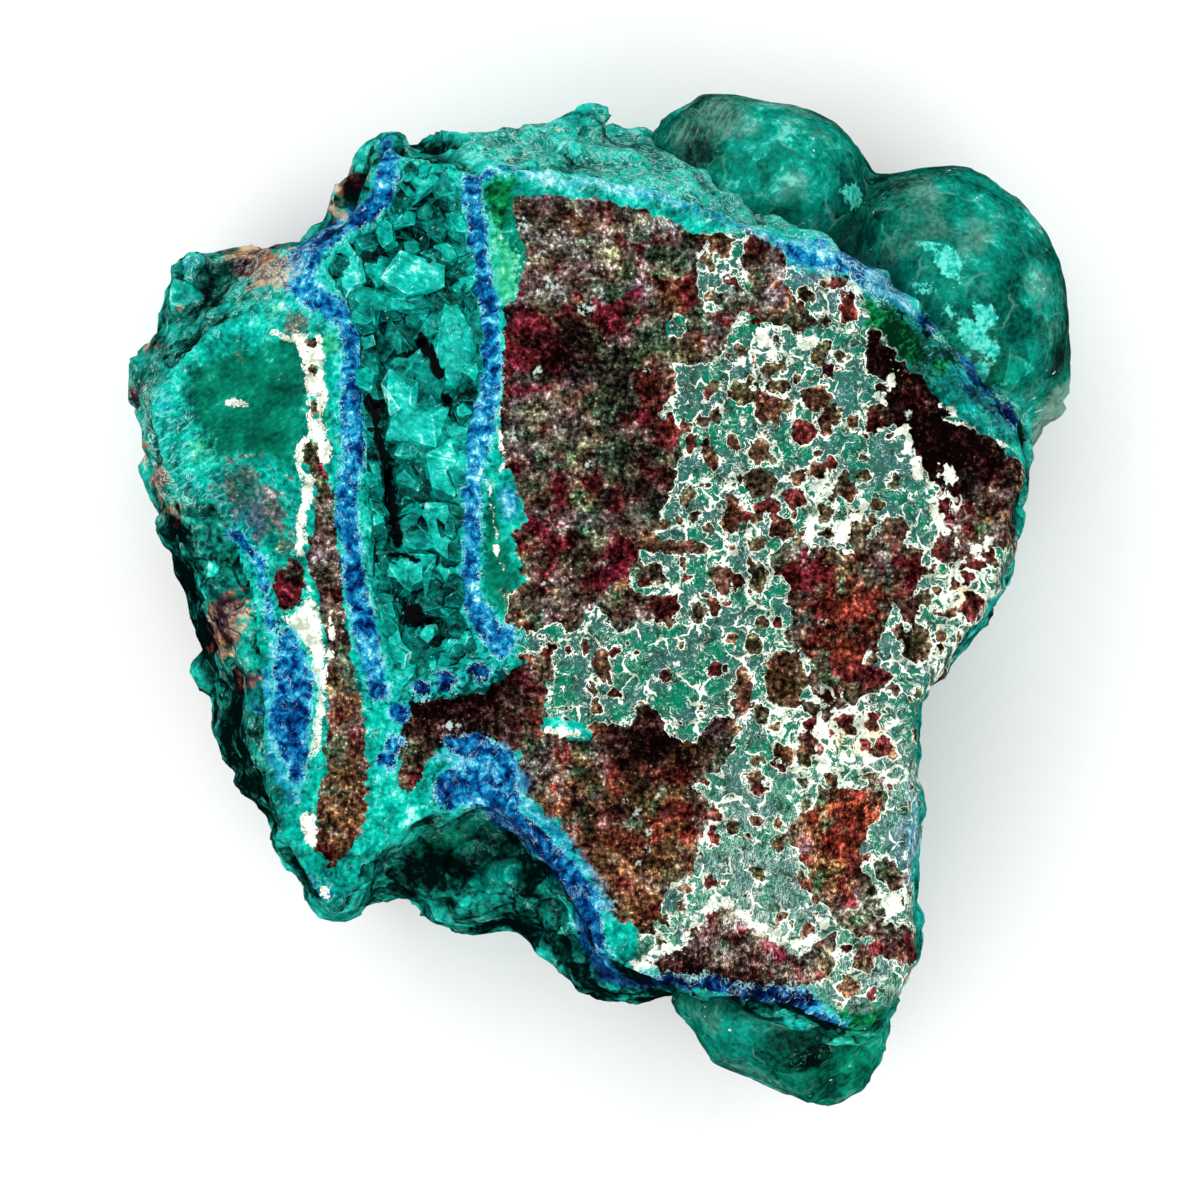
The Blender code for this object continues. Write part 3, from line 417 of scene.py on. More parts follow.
# Soft fields of tone, each (x, y, radius, strength).
VIVID_TONE = [
    (-6.1, 24.6, 1.1, 1), (-6.2, 22.8, 0.8, 0.5), (-6.2, 20.6, 0.8, 0.3), (14.6, 17.4, 1.2, 0.6),
    (16.7, 16.8, 1.3, 1), (15.4, -25, 1.5, 1), (18.4, 15.2, 1.2, 0.9), (-3, 4.4, 0.5, 0.3),
    (20.4, 14, 0.9, 0.6), (-9, -14.8, 1.6, 0.4),
]
FIBRE_TONE = [
    (12.4, 21.2, 1.8, 1), (14.8, 19.6, 1.8, 1), (17, 18.6, 1.6, 0.9), (22.8, 16.4, 1.8, 1),
    (20.4, 15.4, 1.6, 0.8), (24.6, 11.6, 1.6, 0.8), (-23, 19.4, 2, 0.7), (-18, 19.4, 2.4, 0.9),
    (-27, 12, 2.4, 0.8), (1, 27, 3, 0.9), (-5, 28, 2.6, 0.7), (4.6, 27, 2, 0.8), (6, 25.4, 2.6, 1),
    (9.4, 23.4, 2, 1), (-6, 27.4, 2, 0.6), (-20.6, -9, 2, 0.4), (-6, -13.4, 2, 0.6), (24.6, 2, 1.6, 0.6),
    (19.4, -14, 2, 0.6), (-25, 9, 2.4, 0.9), (-23.4, 6.4, 2, 0.7), (-19, 18, 1.6, 0.6),
]
# Where white flecks run up and down through the rock.
FLECK_TONE = [
    (-7, -10, 2.4, 1), (-4, -14, 2, 1), (-1.4, -18, 1.8, 0.9), (4, -23, 3, 0.8), (11, -24, 2, 0.8),
    (-9, -8, 1.6, 0.8), (9.6, -21.4, 3.2, 1), (15, -22.4, 2.4, 0.8), (2.4, -16, 2, 0.5),
    (14.4, -17, 2.2, 0.6), (-2, -9.6, 2.4, 0.4), (14.6, -12.4, 2, 0.4), (15, -1.4, 2.6, 0.3),
    (17, -22, 2, 1), (16, -10, 2, 0.8), (10, -15, 4, 1), (8, -18, 3, 1), (17.6, -12, 2.4, 1),
    (-15.4, -6, 2, 0.5),
]
MILK_TONE = [
    (-6, 20.4, 1.2, 0.9), (-5.8, 18.6, 0.9, 0.9), (-6.6, 22.2, 0.7, 0.6), (-17, 13.4, 0.6, 0.6),
    (-16.2, 15.4, 0.8, 0.7), (-16.4, 11, 0.6, 0.5), (-19.6, 17.6, 0.8, 0.4), (-24, 9, 1.2, 0.5),
    (-3, 25.3, 1, 0.4),
]
BARE_TONE = [
    (-28, 12.2, 0.9, 0.8), (-27.6, 9, 0.7, 0.7), (-25.6, 17.6, 0.7, 0.3), (-22.3, -0.6, 1.4, 1),
    (-22.8, -2.4, 1.2, 0.9), (-26.4, 7.2, 1, 0.9), (-15, 25.2, 1, 1), (-21.4, 20.8, 1.8, 0.9),
    (-21.4, -4.8, 0.9, 0.8), (-19.6, 19.8, 1.4, 0.8), (-25.6, 5, 1, 0.6), (-27.4, 15.4, 1, 0.6),
    (4.4, 27.2, 1.4, 0.4), (-16, 23.6, 0.8, 0.8),
]
RED_TONE = [
    (15, -1.6, 2.8, 0.5), (17, -4, 1.2, 0.6), (12.4, 2.2, 1.2, 0.5), (15.6, -12.6, 1.6, 0.5),
    (1.6, -13.6, 1.4, 0.3), (-4.2, 15.5, 2.4, 1), (1.1, 17.2, 1.4, 1), (-3, 4.4, 1.8, 0.7),
    (0.6, 1.6, 2, 0.7), (-1, 6.3, 1, 0.7), (3.6, 11.6, 1.6, 0.7), (4, 8, 1.2, 0.5), (15, -0.8, 2.4, 0.6),
    (12.8, 1.6, 1.6, 0.4), (18, 2, 1.6, 0.5), (14.8, -4.6, 1.6, 0.7), (4.4, -12.8, 1.8, 0.6),
    (-4, -6.5, 2, 0.6), (2, -9, 2, 0.5), (18.6, 11.6, 0.9, 1), (15, -13.4, 2.4, 0.8), (22.4, 5.8, 2, 0.4),
    (-18.7, 0.8, 1.4, 1), (18.4, -20.8, 1, 0.5), (5, 18.6, 1, 0.4), (-3, 9.5, 2, 0.2), (12.6, -5, 1.6, 0.4),
    (-16.6, 7.4, 1.4, 0.6), (14.9, 17.6, 1.2, 0.6),
]
DARK_TONE = [
    (-2, 15, 1.6, 0.8), (1.2, 13.2, 2, 0.4), (-8, -6.2, 2.6, 0.9), (-5.6, -4.8, 1.2, 0.8),
    (2.4, -8.6, 2, 0.8), (19.4, 10.2, 2.6, 1), (18, 14, 1.8, 1), (17.2, 15.6, 1.4, 1),
    (21.6, 9.4, 1.8, 0.9), (20.5, 8, 1.4, 1), (2.4, 7.6, 1.8, 0.5), (-10.5, -7, 1.6, 0.5),
    (4.4, -8.8, 1.4, 0.6), (23.6, 8, 1.4, 0.6), (-25.2, 3.4, 1.8, 1), (-25, 0.6, 1.4, 0.9),
    (-23.2, 17.8, 0.8, 1), (-7, -15.3, 2, 0.3), (-3.6, -16.8, 1, 1), (-9.8, -14.6, 1.2, 0.8),
    (17.3, 17.6, 0.5, 0.9), (21.7, 15.2, 0.5, 0.9), (24.5, 11, 0.6, 0.9), (19.8, 16.6, 0.7, 0.8),
    (18.8, 14.9, 1, 0.7), (-22.4, -4.6, 1, 0.6), (-20.6, -13.4, 0.8, 0.6), (-14.9, 24.6, 0.6, 1),
    (8, -25.2, 0.8, 0.6), (-12, -17, 1, 0.5), (1, -22.8, 1.4, 0.7), (5, -23.6, 1.6, 0.8), (9, -23.8, 2, 1),
    (5, -23.2, 2, 1), (12.4, -24.2, 1.4, 0.8), (-1, -20, 0.8, 0.4), (-19, -1.6, 0.6, 1),
    (0.6, -14, 3, 0.22), (18.2, 16.5, 0.6, 1), (20.6, 14.9, 0.6, 1), (22.6, 12.6, 0.6, 1),
    (23.7, 11.5, 0.5, 0.9), (25, 9.8, 0.5, 0.9), (19.2, 15.9, 0.4, 0.9), (-6.5, -10, 2, 0.3),
    (-23, 6, 3, 0.25), (-23.8, -2.6, 1.8, 0.6), (-22.8, -8, 2, 0.7), (-21.6, -11.4, 1.6, 0.8),
    (-7, -17.4, 2.6, 0.2), (-4.6, -13.7, 1.1, 0.7), (-3, -15.6, 1.1, 0.7), (-1.7, -17.6, 1, 0.6),
    (-4, -20, 2.4, 0.3), (-1, -23.6, 2, 0.4), (2, -24.8, 2, 0.3), (-20, -13, 2, 0.5), (-21.6, -8, 2, 0.5),
    (-18, -17.4, 1.6, 0.5), (-20.4, -4.4, 1.2, 0.4), (-16, -16.6, 1.2, 0.3), (-13.4, -15.6, 1.4, 0.5),
    (-10, -16, 2, 0.4), (-5, -18.6, 2, 0.2), (-27.4, 13.4, 0.8, 0.6), (-26.6, 15.4, 0.6, 0.6),
]
GREY_TONE = [
    (-2, 21, 3.4, 0.8), (2, 20, 2.6, 0.6), (-3.5, 11, 2.6, 0.6), (-4, 18.6, 1.4, 0.8), (-2.4, 5, 1.6, 0.4),
    (-1, -11.4, 2.6, 0.5), (8, 16.4, 3, 0.5), (7.5, 19, 2, 0.4), (-15, -8, 2, 0.4), (22, 6.6, 1.6, 0.3),
    (9.6, -21.4, 3.2, 0.7), (-9.2, -7.6, 1, 0.8), (5.4, 21, 1.4, 0.4), (11, 18.6, 1.6, 0.3),
]
GREEN_TONE = [
    (1.2, 13, 1.8, 0.8), (2, 7.8, 1.8, 0.6), (7.6, 17.6, 2.2, 0.5), (-2.6, 8.4, 1.2, 0.3),
    (2.6, 20.6, 1.6, 0.4), (0.4, 11, 1.4, 0.5), (-4.7, 9.7, 0.8, 1), (3.2, 15.6, 0.9, 0.8),
    (4, 20.4, 1.6, 0.7), (2, 21, 1, 0.5), (0.4, 18.4, 1.2, 0.5), (-0.4, 14.4, 1.3, 0.7),
]
RUST_TONE = [
    (15, -1.2, 3, 1), (14.6, -14, 2.6, 0.9), (0, -12, 3, 0.8), (-0.8, 22, 1, 0.8), (1, -14.6, 2.8, 0.9),
    (-4, -6.4, 1.6, 0.5), (9.7, 9.8, 1.8, 0.7), (4.4, 18.2, 1, 0.7), (5.7, 15.4, 0.5, 1),
    (-16.2, -13, 3, 0.9), (-16, -6, 2.4, 0.6), (17.8, 4.4, 1, 0.6), (13.5, -12.6, 2, 0.4),
    (15.3, -21.6, 1.6, 0.6), (11.2, 17, 1.8, 0.6), (7, 21.4, 1, 0.8), (9, 21.4, 0.8, 0.8),
    (14, -16.6, 1.4, 0.6), (3.6, -13, 2.4, 0.9), (1.6, -17.4, 2.4, 0.9), (3.6, -9.6, 1.6, 0.5),
    (16.4, -12.6, 1.6, 0.6),
]
# Brighter turquoise, and also painted light in the rind's hollows at the foot and along the lobes' inner
# edge, where shade falls.
BRIGHT_TONE_AND_PAINTED_LIGHT = [
    (-16.5, 18.8, 1, 0.7), (-13.4, -7.6, 1, 0.8), (-12.6, -10.4, 1.4, 0.6), (-7.4, -8.4, 1.4, 0.7),
    (-0.3, 25.7, 2.4, 1), (2.6, 24.8, 1.6, 0.6), (-21, 5, 3, 0.3), (-16.2, 13, 1, 0.5), (-10, 26.6, 2, 0.5),
    (13, 18.2, 0.9, 1), (22.8, 16.2, 1.6, 1), (25.6, 9, 0.8, 1), (22, 11, 1.2, 0.8), (-14.6, -12, 2, 0.3),
    (12.6, 21.6, 1.6, 0.8), (15.8, 21, 1.2, 1), (-3, -18.6, 1, 1), (-25, 14.4, 2, 0.4),
    (-8, 27.4, 1.8, 0.9), (-8.5, -14.2, 1, 0.5), (12.4, -24.2, 1, 0.6), (14.4, 21, 1, 0.8),
    (-19.4, 16.8, 1.6, 0.4), (-24, 7.6, 1.6, 0.5), (-5.5, 6, 0.8, 0.6), (-7.4, 10, 1.6, 0.6),
    (-6.8, 16, 1.4, 0.5), (-7.2, 21, 1.2, 0.5), (-6.4, -2, 1.6, 0.5), (-4, 27.6, 2, 0.6), (1, 27.6, 2, 0.5),
    (4.4, 26, 2, 0.4), (-24.8, 19.8, 1.2, 0.7), (-22.4, -3.6, 1, 0.8), (-21.2, -5, 0.8, 0.6),
    (-6.4, -16.6, 1.6, 0.8), (-11.4, -13, 1.4, 0.8), (-8, -12.6, 1.4, 0.8), (0.6, -24.2, 1.4, 0.5),
    (-7.6, 6, 1.4, 0.6), (-7.7, 2.4, 1.4, 0.6), (-6.6, 13, 1.4, 0.5), (-7, 18.6, 1.2, 0.5),
    (-7.2, -18, 1, 0.7), (-9, -14.4, 2, 0.8), (-6.6, 15, 1, 0.4), (-7.5, 8, 1.2, 0.4),
    (-7.5, -0.4, 1.2, 0.5), (-5, -16.4, 1.4, 0.6), (-12, -14.6, 1.6, 0.5), (21.8, 15, 0.7, 0.7),
    (19, 17.4, 0.8, 0.6),
]
BLUE_TINT = [
    (-20, -6, 2.4, 0.8), (-18.4, 19.4, 2, 0.8), (-21, 5, 2.4, 0.7), (14, 19.8, 2.4, 0.8),
    (18.2, 18.4, 2, 0.9), (-5.5, 6, 0.8, 1), (-24.6, 20, 1.2, 0.9), (-26.4, 14.6, 0.8, 0.6),
    (-19, -1.6, 0.6, 1), (18.4, -14.5, 1.6, 0.7), (20, -4, 1.8, 0.4), (15, 12, 2.4, 0.4),
    (17.4, 9, 1.4, 0.5), (-24, 16.5, 1.6, 0.4), (12.6, 14.6, 2, 0.3), (-26, 12, 1.4, 0.3),
    (22, 13.6, 2, 0.6), (-8, -10.6, 2.4, 0.7), (-17, -18, 2, 0.6), (18.6, 7.6, 1.2, 0.4),
    (18.6, -16.5, 1.2, 0.6), (12.4, 20.6, 1.4, 1), (15.6, 19.4, 1.4, 1), (20, 16.4, 0.8, 0.9),
    (24.4, 11.4, 0.9, 0.9), (19, -24.2, 1, 0.5), (-1.6, 26.4, 1.4, 0.4), (23.2, 12.8, 0.9, 0.7),
]
# Brown and grey stains in the blue-green rock.
SMUDGE_TONE = [
    (-21.4, 7, 1.7, 0.9), (-20, 5, 1.6, 0.9), (-19, 3, 1, 0.6), (-18.3, 16.6, 0.9, 1), (-22.6, 4.4, 1, 0.6),
    (-5.4, 9.6, 0.6, 0.5), (-25, 6.4, 0.9, 0.6), (-20, -9.4, 1, 0.4), (-21.6, 15, 0.8, 0.4),
]
CREAM_TONE = [
    (22, 0.4, 2, 1), (14, -8.4, 3, 0.8), (20, -3.8, 1.6, 0.7), (17.6, -18.3, 1.4, 0.8),
    (16.6, -8, 1.6, 0.6), (20.6, 5.6, 1.4, 0.6), (10.4, -7.6, 1.4, 0.4), (12, -20.4, 1.4, 0.3),
    (18.2, -11, 1.2, 0.6), (9.8, 12.8, 1.6, 0.3), (13.4, 6, 2, 0.4), (17.4, -22.4, 1.4, 0.4),
    (9.4, -18.6, 1.6, 0.3),
]

POCKET_MOUTH = [
    (-15.3, 18.3), (-16.1, 19.7), (-15.3, 21), (-13.8, 21.9), (-12.3, 23.1), (-11.9, 24.8), (-11.4, 26),
    (-9.6, 25.8), (-8.7, 24.6), (-8.3, 22.7), (-7.8, 19.8), (-7.4, 16.8), (-7.3, 13.8), (-7.8, 11.3),
    (-8.2, 9), (-8.5, 6), (-8.6, 2.4), (-8.5, -0.6), (-7.8, -2.1), (-7.6, -3), (-9, -3.8), (-10.8, -4.5),
    (-11.9, -5), (-12.8, -2.4), (-13.2, 0), (-13.5, 2.4), (-13.6, 4.8), (-13.8, 7.8), (-14, 10.8),
    (-14.2, 13.2), (-14.3, 16.2),
]
# The chipped lip round the pocket, how far out it reaches and how far down it goes.
LIP = 0.5
LIP_DROP = 0.35
# How many millimetres from the face, the base and the pocket the broken sides have their full relief.
RELIEF_FROM_FACE = 0.9
RELIEF_FROM_BASE = 0.6
RELIEF_FROM_POCKET = 0.8
# (height, size, seed) of the facets and of the lumps on the broken sides.
ORE_FACETS = [(0.20, 4.2, 3), (0.26, 1.7, 5), (0.20, 0.8, 9)]
ORE_LUMPS = (0.08, 0.9, 7)
FACE_SKIN = 0.1 * MM

ore = fine_copy("matrix_rock", "ore", ORE_GRAIN)
bm = bmesh.new()
bm.from_mesh(ore.data)
polished = [edge for edge in bm.edges if min(vert.co.z for vert in edge.verts) > FACE_Z - FACE_SKIN]
bmesh.ops.subdivide_edges(bm, edges=polished, cuts=1, use_grid_fill=True)
bm.to_mesh(ore.data)
bm.free()

# The broken sides get their facets and grit; the saw cut, the base and the pocket's wall keep their places.
ore_points = points_of(ore.data)
depth = FACE_Z / MM - ore_points[:, 2]
rough = np.clip(depth / RELIEF_FROM_FACE, 0, 1) * np.clip(ore_points[:, 2] / RELIEF_FROM_BASE, 0, 1)
rough *= np.clip(-side_of(ore_points, POCKET_MOUTH) / RELIEF_FROM_POCKET, 0, 1)
broken = rough > 0
rise = np.zeros(len(ore_points))
for kind in ORE_FACETS:
    rise[broken] += facets(ore_points[broken], *kind)
rise[broken] += lumps(ore_points[broken], *ORE_LUMPS)
rise = softened(ore.data, rise, 1)
ore_points += normals_of(ore.data) * (rise * rough)[:, None]
# The face's lip round the pocket is chipped down, and the crystals lie over it.
lip = np.clip(1 + side_of(ore_points, POCKET_MOUTH) / LIP, 0, 1) * (depth < LIP)
ore_points[:, 2] -= LIP_DROP * lip
move_points(ore.data, inside_box(ore_points))
ore.data.shade_smooth()

ironstone = np.max([side_of(ore_points, outline) for outline in IRONSTONE], axis=0)
for gap in IRONSTONE_GAPS:
    ironstone = np.minimum(ironstone, -side_of(ore_points, gap))
blue = np.max([within_band(ore_points, route) for route in BLUE_BANDS], axis=0)
blue = np.maximum(blue, within_spots(ore_points, BLUE_SPOTS))
white = np.max([side_of(ore_points, shape) for shape in WHITE_SHAPES], axis=0)
white = np.maximum(white, np.max([within_band(ore_points, route) for route in WHITE_LINES], axis=0))
white = np.maximum(white, within_spots(ore_points, WHITE_SPOTS))
white = np.minimum(white, -within_spots(ore_points, WHITE_HOLES))
lump_lists = (OLIVE_LUMPS, BROWN_LUMPS, MAROON_LUMPS)
lump_fields = np.array([within_spots(ore_points, spots) for spots in lump_lists])
store(ore.data, "rise", rise)
store(ore.data, "ironstone", ironstone)
store(ore.data, "lumps", lump_fields.max(0))
store(ore.data, "lump_tone", lump_fields.argmax(0) / (len(lump_lists) - 1))
store(ore.data, "blue", blue)
store(ore.data, "mist", np.max([within_band(ore_points, route) for route in MIST_BANDS], axis=0))
store(ore.data, "white", white)
store(ore.data, "web", side_of(ore_points, WEB_GROUND))
store(ore.data, "glass", np.max([side_of(ore_points, outline) for outline in GREEN_GLASS], axis=0))
store(ore.data, "pale", within_spots(ore_points, PALE_SPOTS))
tones = [
    ("red", RED_TONE), ("dark", DARK_TONE), ("grey", GREY_TONE), ("green", GREEN_TONE), ("rust", RUST_TONE),
    ("bright", BRIGHT_TONE_AND_PAINTED_LIGHT), ("cool", BLUE_TINT), ("cream", CREAM_TONE), ("vivid", VIVID_TONE),
    ("bare", BARE_TONE), ("fibre", FIBRE_TONE), ("milk", MILK_TONE), ("fleck", FLECK_TONE),
    ("smudge", SMUDGE_TONE),
]
for tone, spots in tones:
    store(ore.data, tone, glow(ore_points, spots))


# Paint chips run from 0 to 255 on a bent scale; the shader wants plain amounts of light.
CHIP_FULL = 255
CHIP_TOE = 0.04045
CHIP_TOE_SLOPE = 12.92
CHIP_OFFSET = 0.055
CHIP_POWER = 2.4
# Below the level of the face, a flat pattern slides this way for each millimetre down.
EDGE_SLIDE = (0.8, 0.6, 0)
# Patterns keep clear of the zero point, where the layers of a noise line up and draw a star.
CLEAR_OF_ZERO = (157.0, 93.0, 61.0)
SECOND_PLACE = (31.0, 17.0, 5.0)
# The colour mixer's sockets, by number: share, first colour, second colour, and the result.
MIX_SHARE, MIX_FIRST, MIX_SECOND, MIX_RESULT = 0, 6, 7, 2


def paint(red, green, blue):
    """A colour given as a paint chip's 0 to 255 values."""
    chip = np.array([red, green, blue]) / CHIP_FULL
    bent = ((chip + CHIP_OFFSET) / (1 + CHIP_OFFSET)) ** CHIP_POWER
    return (*np.where(chip < CHIP_TOE, chip / CHIP_TOE_SLOPE, bent), 1)


class Finish:
    """A material built up one node at a time. Each step gives a value that the next steps can take.

    A flat finish is for a level surface: its patterns are worked out in the plane, which is quicker.
    """

    def __init__(self, name, flat=False):
        self.sides = "2D" if flat else "3D"
        self.material = bpy.data.materials.new(name)
        self.material.use_nodes = True
        self.tree = self.material.node_tree
        self.shader = self.tree.nodes["Principled BSDF"]
        where = self.node("ShaderNodeTexCoord").outputs["Object"]
        self.mm = self.vector("SCALE", where, Scale=1 / MM)
        if flat:
            height = self.node("ShaderNodeSeparateXYZ", self.mm).outputs["Z"]
            drop = self.math("SUBTRACT", FACE_Z / MM, height)
            self.mm = self.vector("ADD", self.mm, self.vector("SCALE", EDGE_SLIDE, Scale=drop))
        self.place = self.vector("ADD", self.mm, CLEAR_OF_ZERO)
        self.elsewhere = self.vector("ADD", self.place, SECOND_PLACE)

    def node(self, kind, *values, **settings):
        """A new node. Settings go by name, to a socket or to the node, and values to its sockets in order."""
        made = self.tree.nodes.new(kind)
        for name, value in settings.items():
            if name in made.inputs:
                self.feed(made.inputs[name], value)
            else:
                setattr(made, name, value)
        for socket, value in zip(made.inputs, values):
            self.feed(socket, value)
        return made

    def feed(self, socket, value):
        if isinstance(value, bpy.types.NodeSocket):
            self.tree.links.new(value, socket)
        else:
            socket.default_value = value

    def attribute(self, name):
        return self.node("ShaderNodeAttribute", attribute_name=name).outputs["Fac"]

    def math(self, operation, *values):
        return self.node("ShaderNodeMath", *values, operation=operation).outputs[0]

    def vector(self, operation, *values, **settings):
        return self.node("ShaderNodeVectorMath", *values, operation=operation, **settings).outputs[0]

    def chain(self, operation, values):
        total = values[0]
        for value in values[1:]:
            total = self.math(operation, total, value)
        return total

    def add(self, *values):
        return self.chain("ADD", values)

    def times(self, *values):
        return self.chain("MULTIPLY", values)

    def most(self, *values):
        return self.chain("MAXIMUM", values)

    def rest(self, value):
        """What is left of one when the value is taken off."""
        return self.add(1.0, self.times(value, -1.0))

    def step(self, value, low, high):
        """Goes smoothly from 0 at low to 1 at high."""
        ramp = self.node("ShaderNodeMapRange", interpolation_type="SMOOTHSTEP")
        for name, given in (("Value", value), ("From Min", low), ("From Max", high)):
            self.feed(ramp.inputs[name], given)
        return ramp.outputs[0]

    def ridge(self, value, width):
        """1 where the value is close to a half, and 0 from the width away: on noise, thin lines."""
        return self.step(self.math("ABSOLUTE", self.add(value, -0.5)), width, 0.0)

    def swing(self, value, reach):
        """How far a noise lies from its middle, drawn out by the reach."""
        return self.times(self.add(value, -0.5), reach)

    def product(self, first, second):
        return self.vector("MULTIPLY", first, second)

    def noise(self, scale, detail=3.0, rough=0.55, warp=0.0, where=None, color=False):
        made = self.node("ShaderNodeTexNoise", noise_dimensions=self.sides, Scale=scale, Detail=detail,
                         Roughness=rough, Distortion=warp, Vector=where or self.place)
        return made.outputs["Color" if color else "Fac"]

    def cells(self, scale, feature="F1", where=None, tinted=False):
        """How far off the nearest cell's middle or edge is, and each cell's own colour if it is wanted."""
        made = self.node("ShaderNodeTexVoronoi", voronoi_dimensions=self.sides, feature=feature, Scale=scale,
                         Vector=where or self.place)
        return (made.outputs["Distance"], made.outputs["Color"]) if tinted else made.outputs["Distance"]

    def shifted(self, scale, reach, where=None):
        """The place, pushed about by noise by up to the reach in millimetres."""
        push = self.vector("SUBTRACT", self.noise(scale, 2.0, color=True), (0.5, 0.5, 0.5))
        return self.vector("ADD", where or self.mm, self.vector("SCALE", push, Scale=2 * reach))

    def stretched(self, angle, long, wide):
        """The place, turned and drawn out, for streaks that run at the angle."""
        made = self.node("ShaderNodeMapping", Vector=self.place, Rotation=(0, 0, -math.radians(angle)))
        return self.product(made.outputs[0], (1 / long, 1 / wide, 1 / wide))

    def off_line(self, start, end, where):
        """Distance in the plane from the line between two (x, y) points."""
        along = Vector(end) - Vector(start)
        place = self.product(self.vector("SUBTRACT", where, (*start, 0)), (1, 1, 0))
        measure = (*(along / along.length_squared), 0)
        share = self.node("ShaderNodeVectorMath", place, measure, operation="DOT_PRODUCT")
        share = self.node("ShaderNodeMath", share.outputs["Value"], 1.0, operation="MULTIPLY", use_clamp=True)
        away = self.vector("SUBTRACT", place, self.vector("SCALE", (*along, 0), Scale=share.outputs[0]))
        return self.node("ShaderNodeVectorMath", away, operation="LENGTH").outputs["Value"]

    def mix(self, share, first, second):
        """The first colour, with the given share of the second over it."""
        made = self.node("ShaderNodeMix", data_type="RGBA")
        for socket, value in ((MIX_SHARE, share), (MIX_FIRST, first), (MIX_SECOND, second)):
            self.feed(made.inputs[socket], value)
        return made.outputs[MIX_RESULT]

    def ramp(self, value, *stops):
        """A colour read off a scale of stops, each a value and a paint chip's red, green and blue."""
        made = self.node("ShaderNodeValToRGB", value)
        scale = made.color_ramp.elements
        while len(scale) < len(stops):
            scale.new(0.5)
        # The colours go in last, because marks change their order as they move.
        for mark, stop in zip(scale, stops):
            mark.position = stop[0]
        for mark, stop in zip(scale, stops):
            mark.color = paint(*stop[1:])
        return made.outputs[0]

    def chips(self, scale, where=None):
        """A value from 0 to 1 that stays the same over each small flat facet."""
        tint = self.cells(scale, where=where, tinted=True)[1]
        return self.node("ShaderNodeSeparateColor", tint).outputs[0]

    def tinted(self, colour, brightness):
        """The colour, made lighter or darker by a value."""
        return self.vector("SCALE", colour, Scale=brightness)

    def bump(self, height, strength, distance):
        made = self.node("ShaderNodeBump", Strength=strength, Distance=distance * MM, Height=height)
        self.feed(self.shader.inputs["Normal"], made.outputs[0])

    def surface(self, **sockets):
        """Feeds the shader's sockets, named here with a low line for each space."""
        for name, value in sockets.items():
            self.feed(self.shader.inputs[name.replace("_", " ")], value)


# How strongly the stone mirrors light head on, as the shader's specular level.
GLEAM = 0.1
# The size of the small strewn lumps, as cells in a millimetre.
CRUMB_SCALE = 0.72


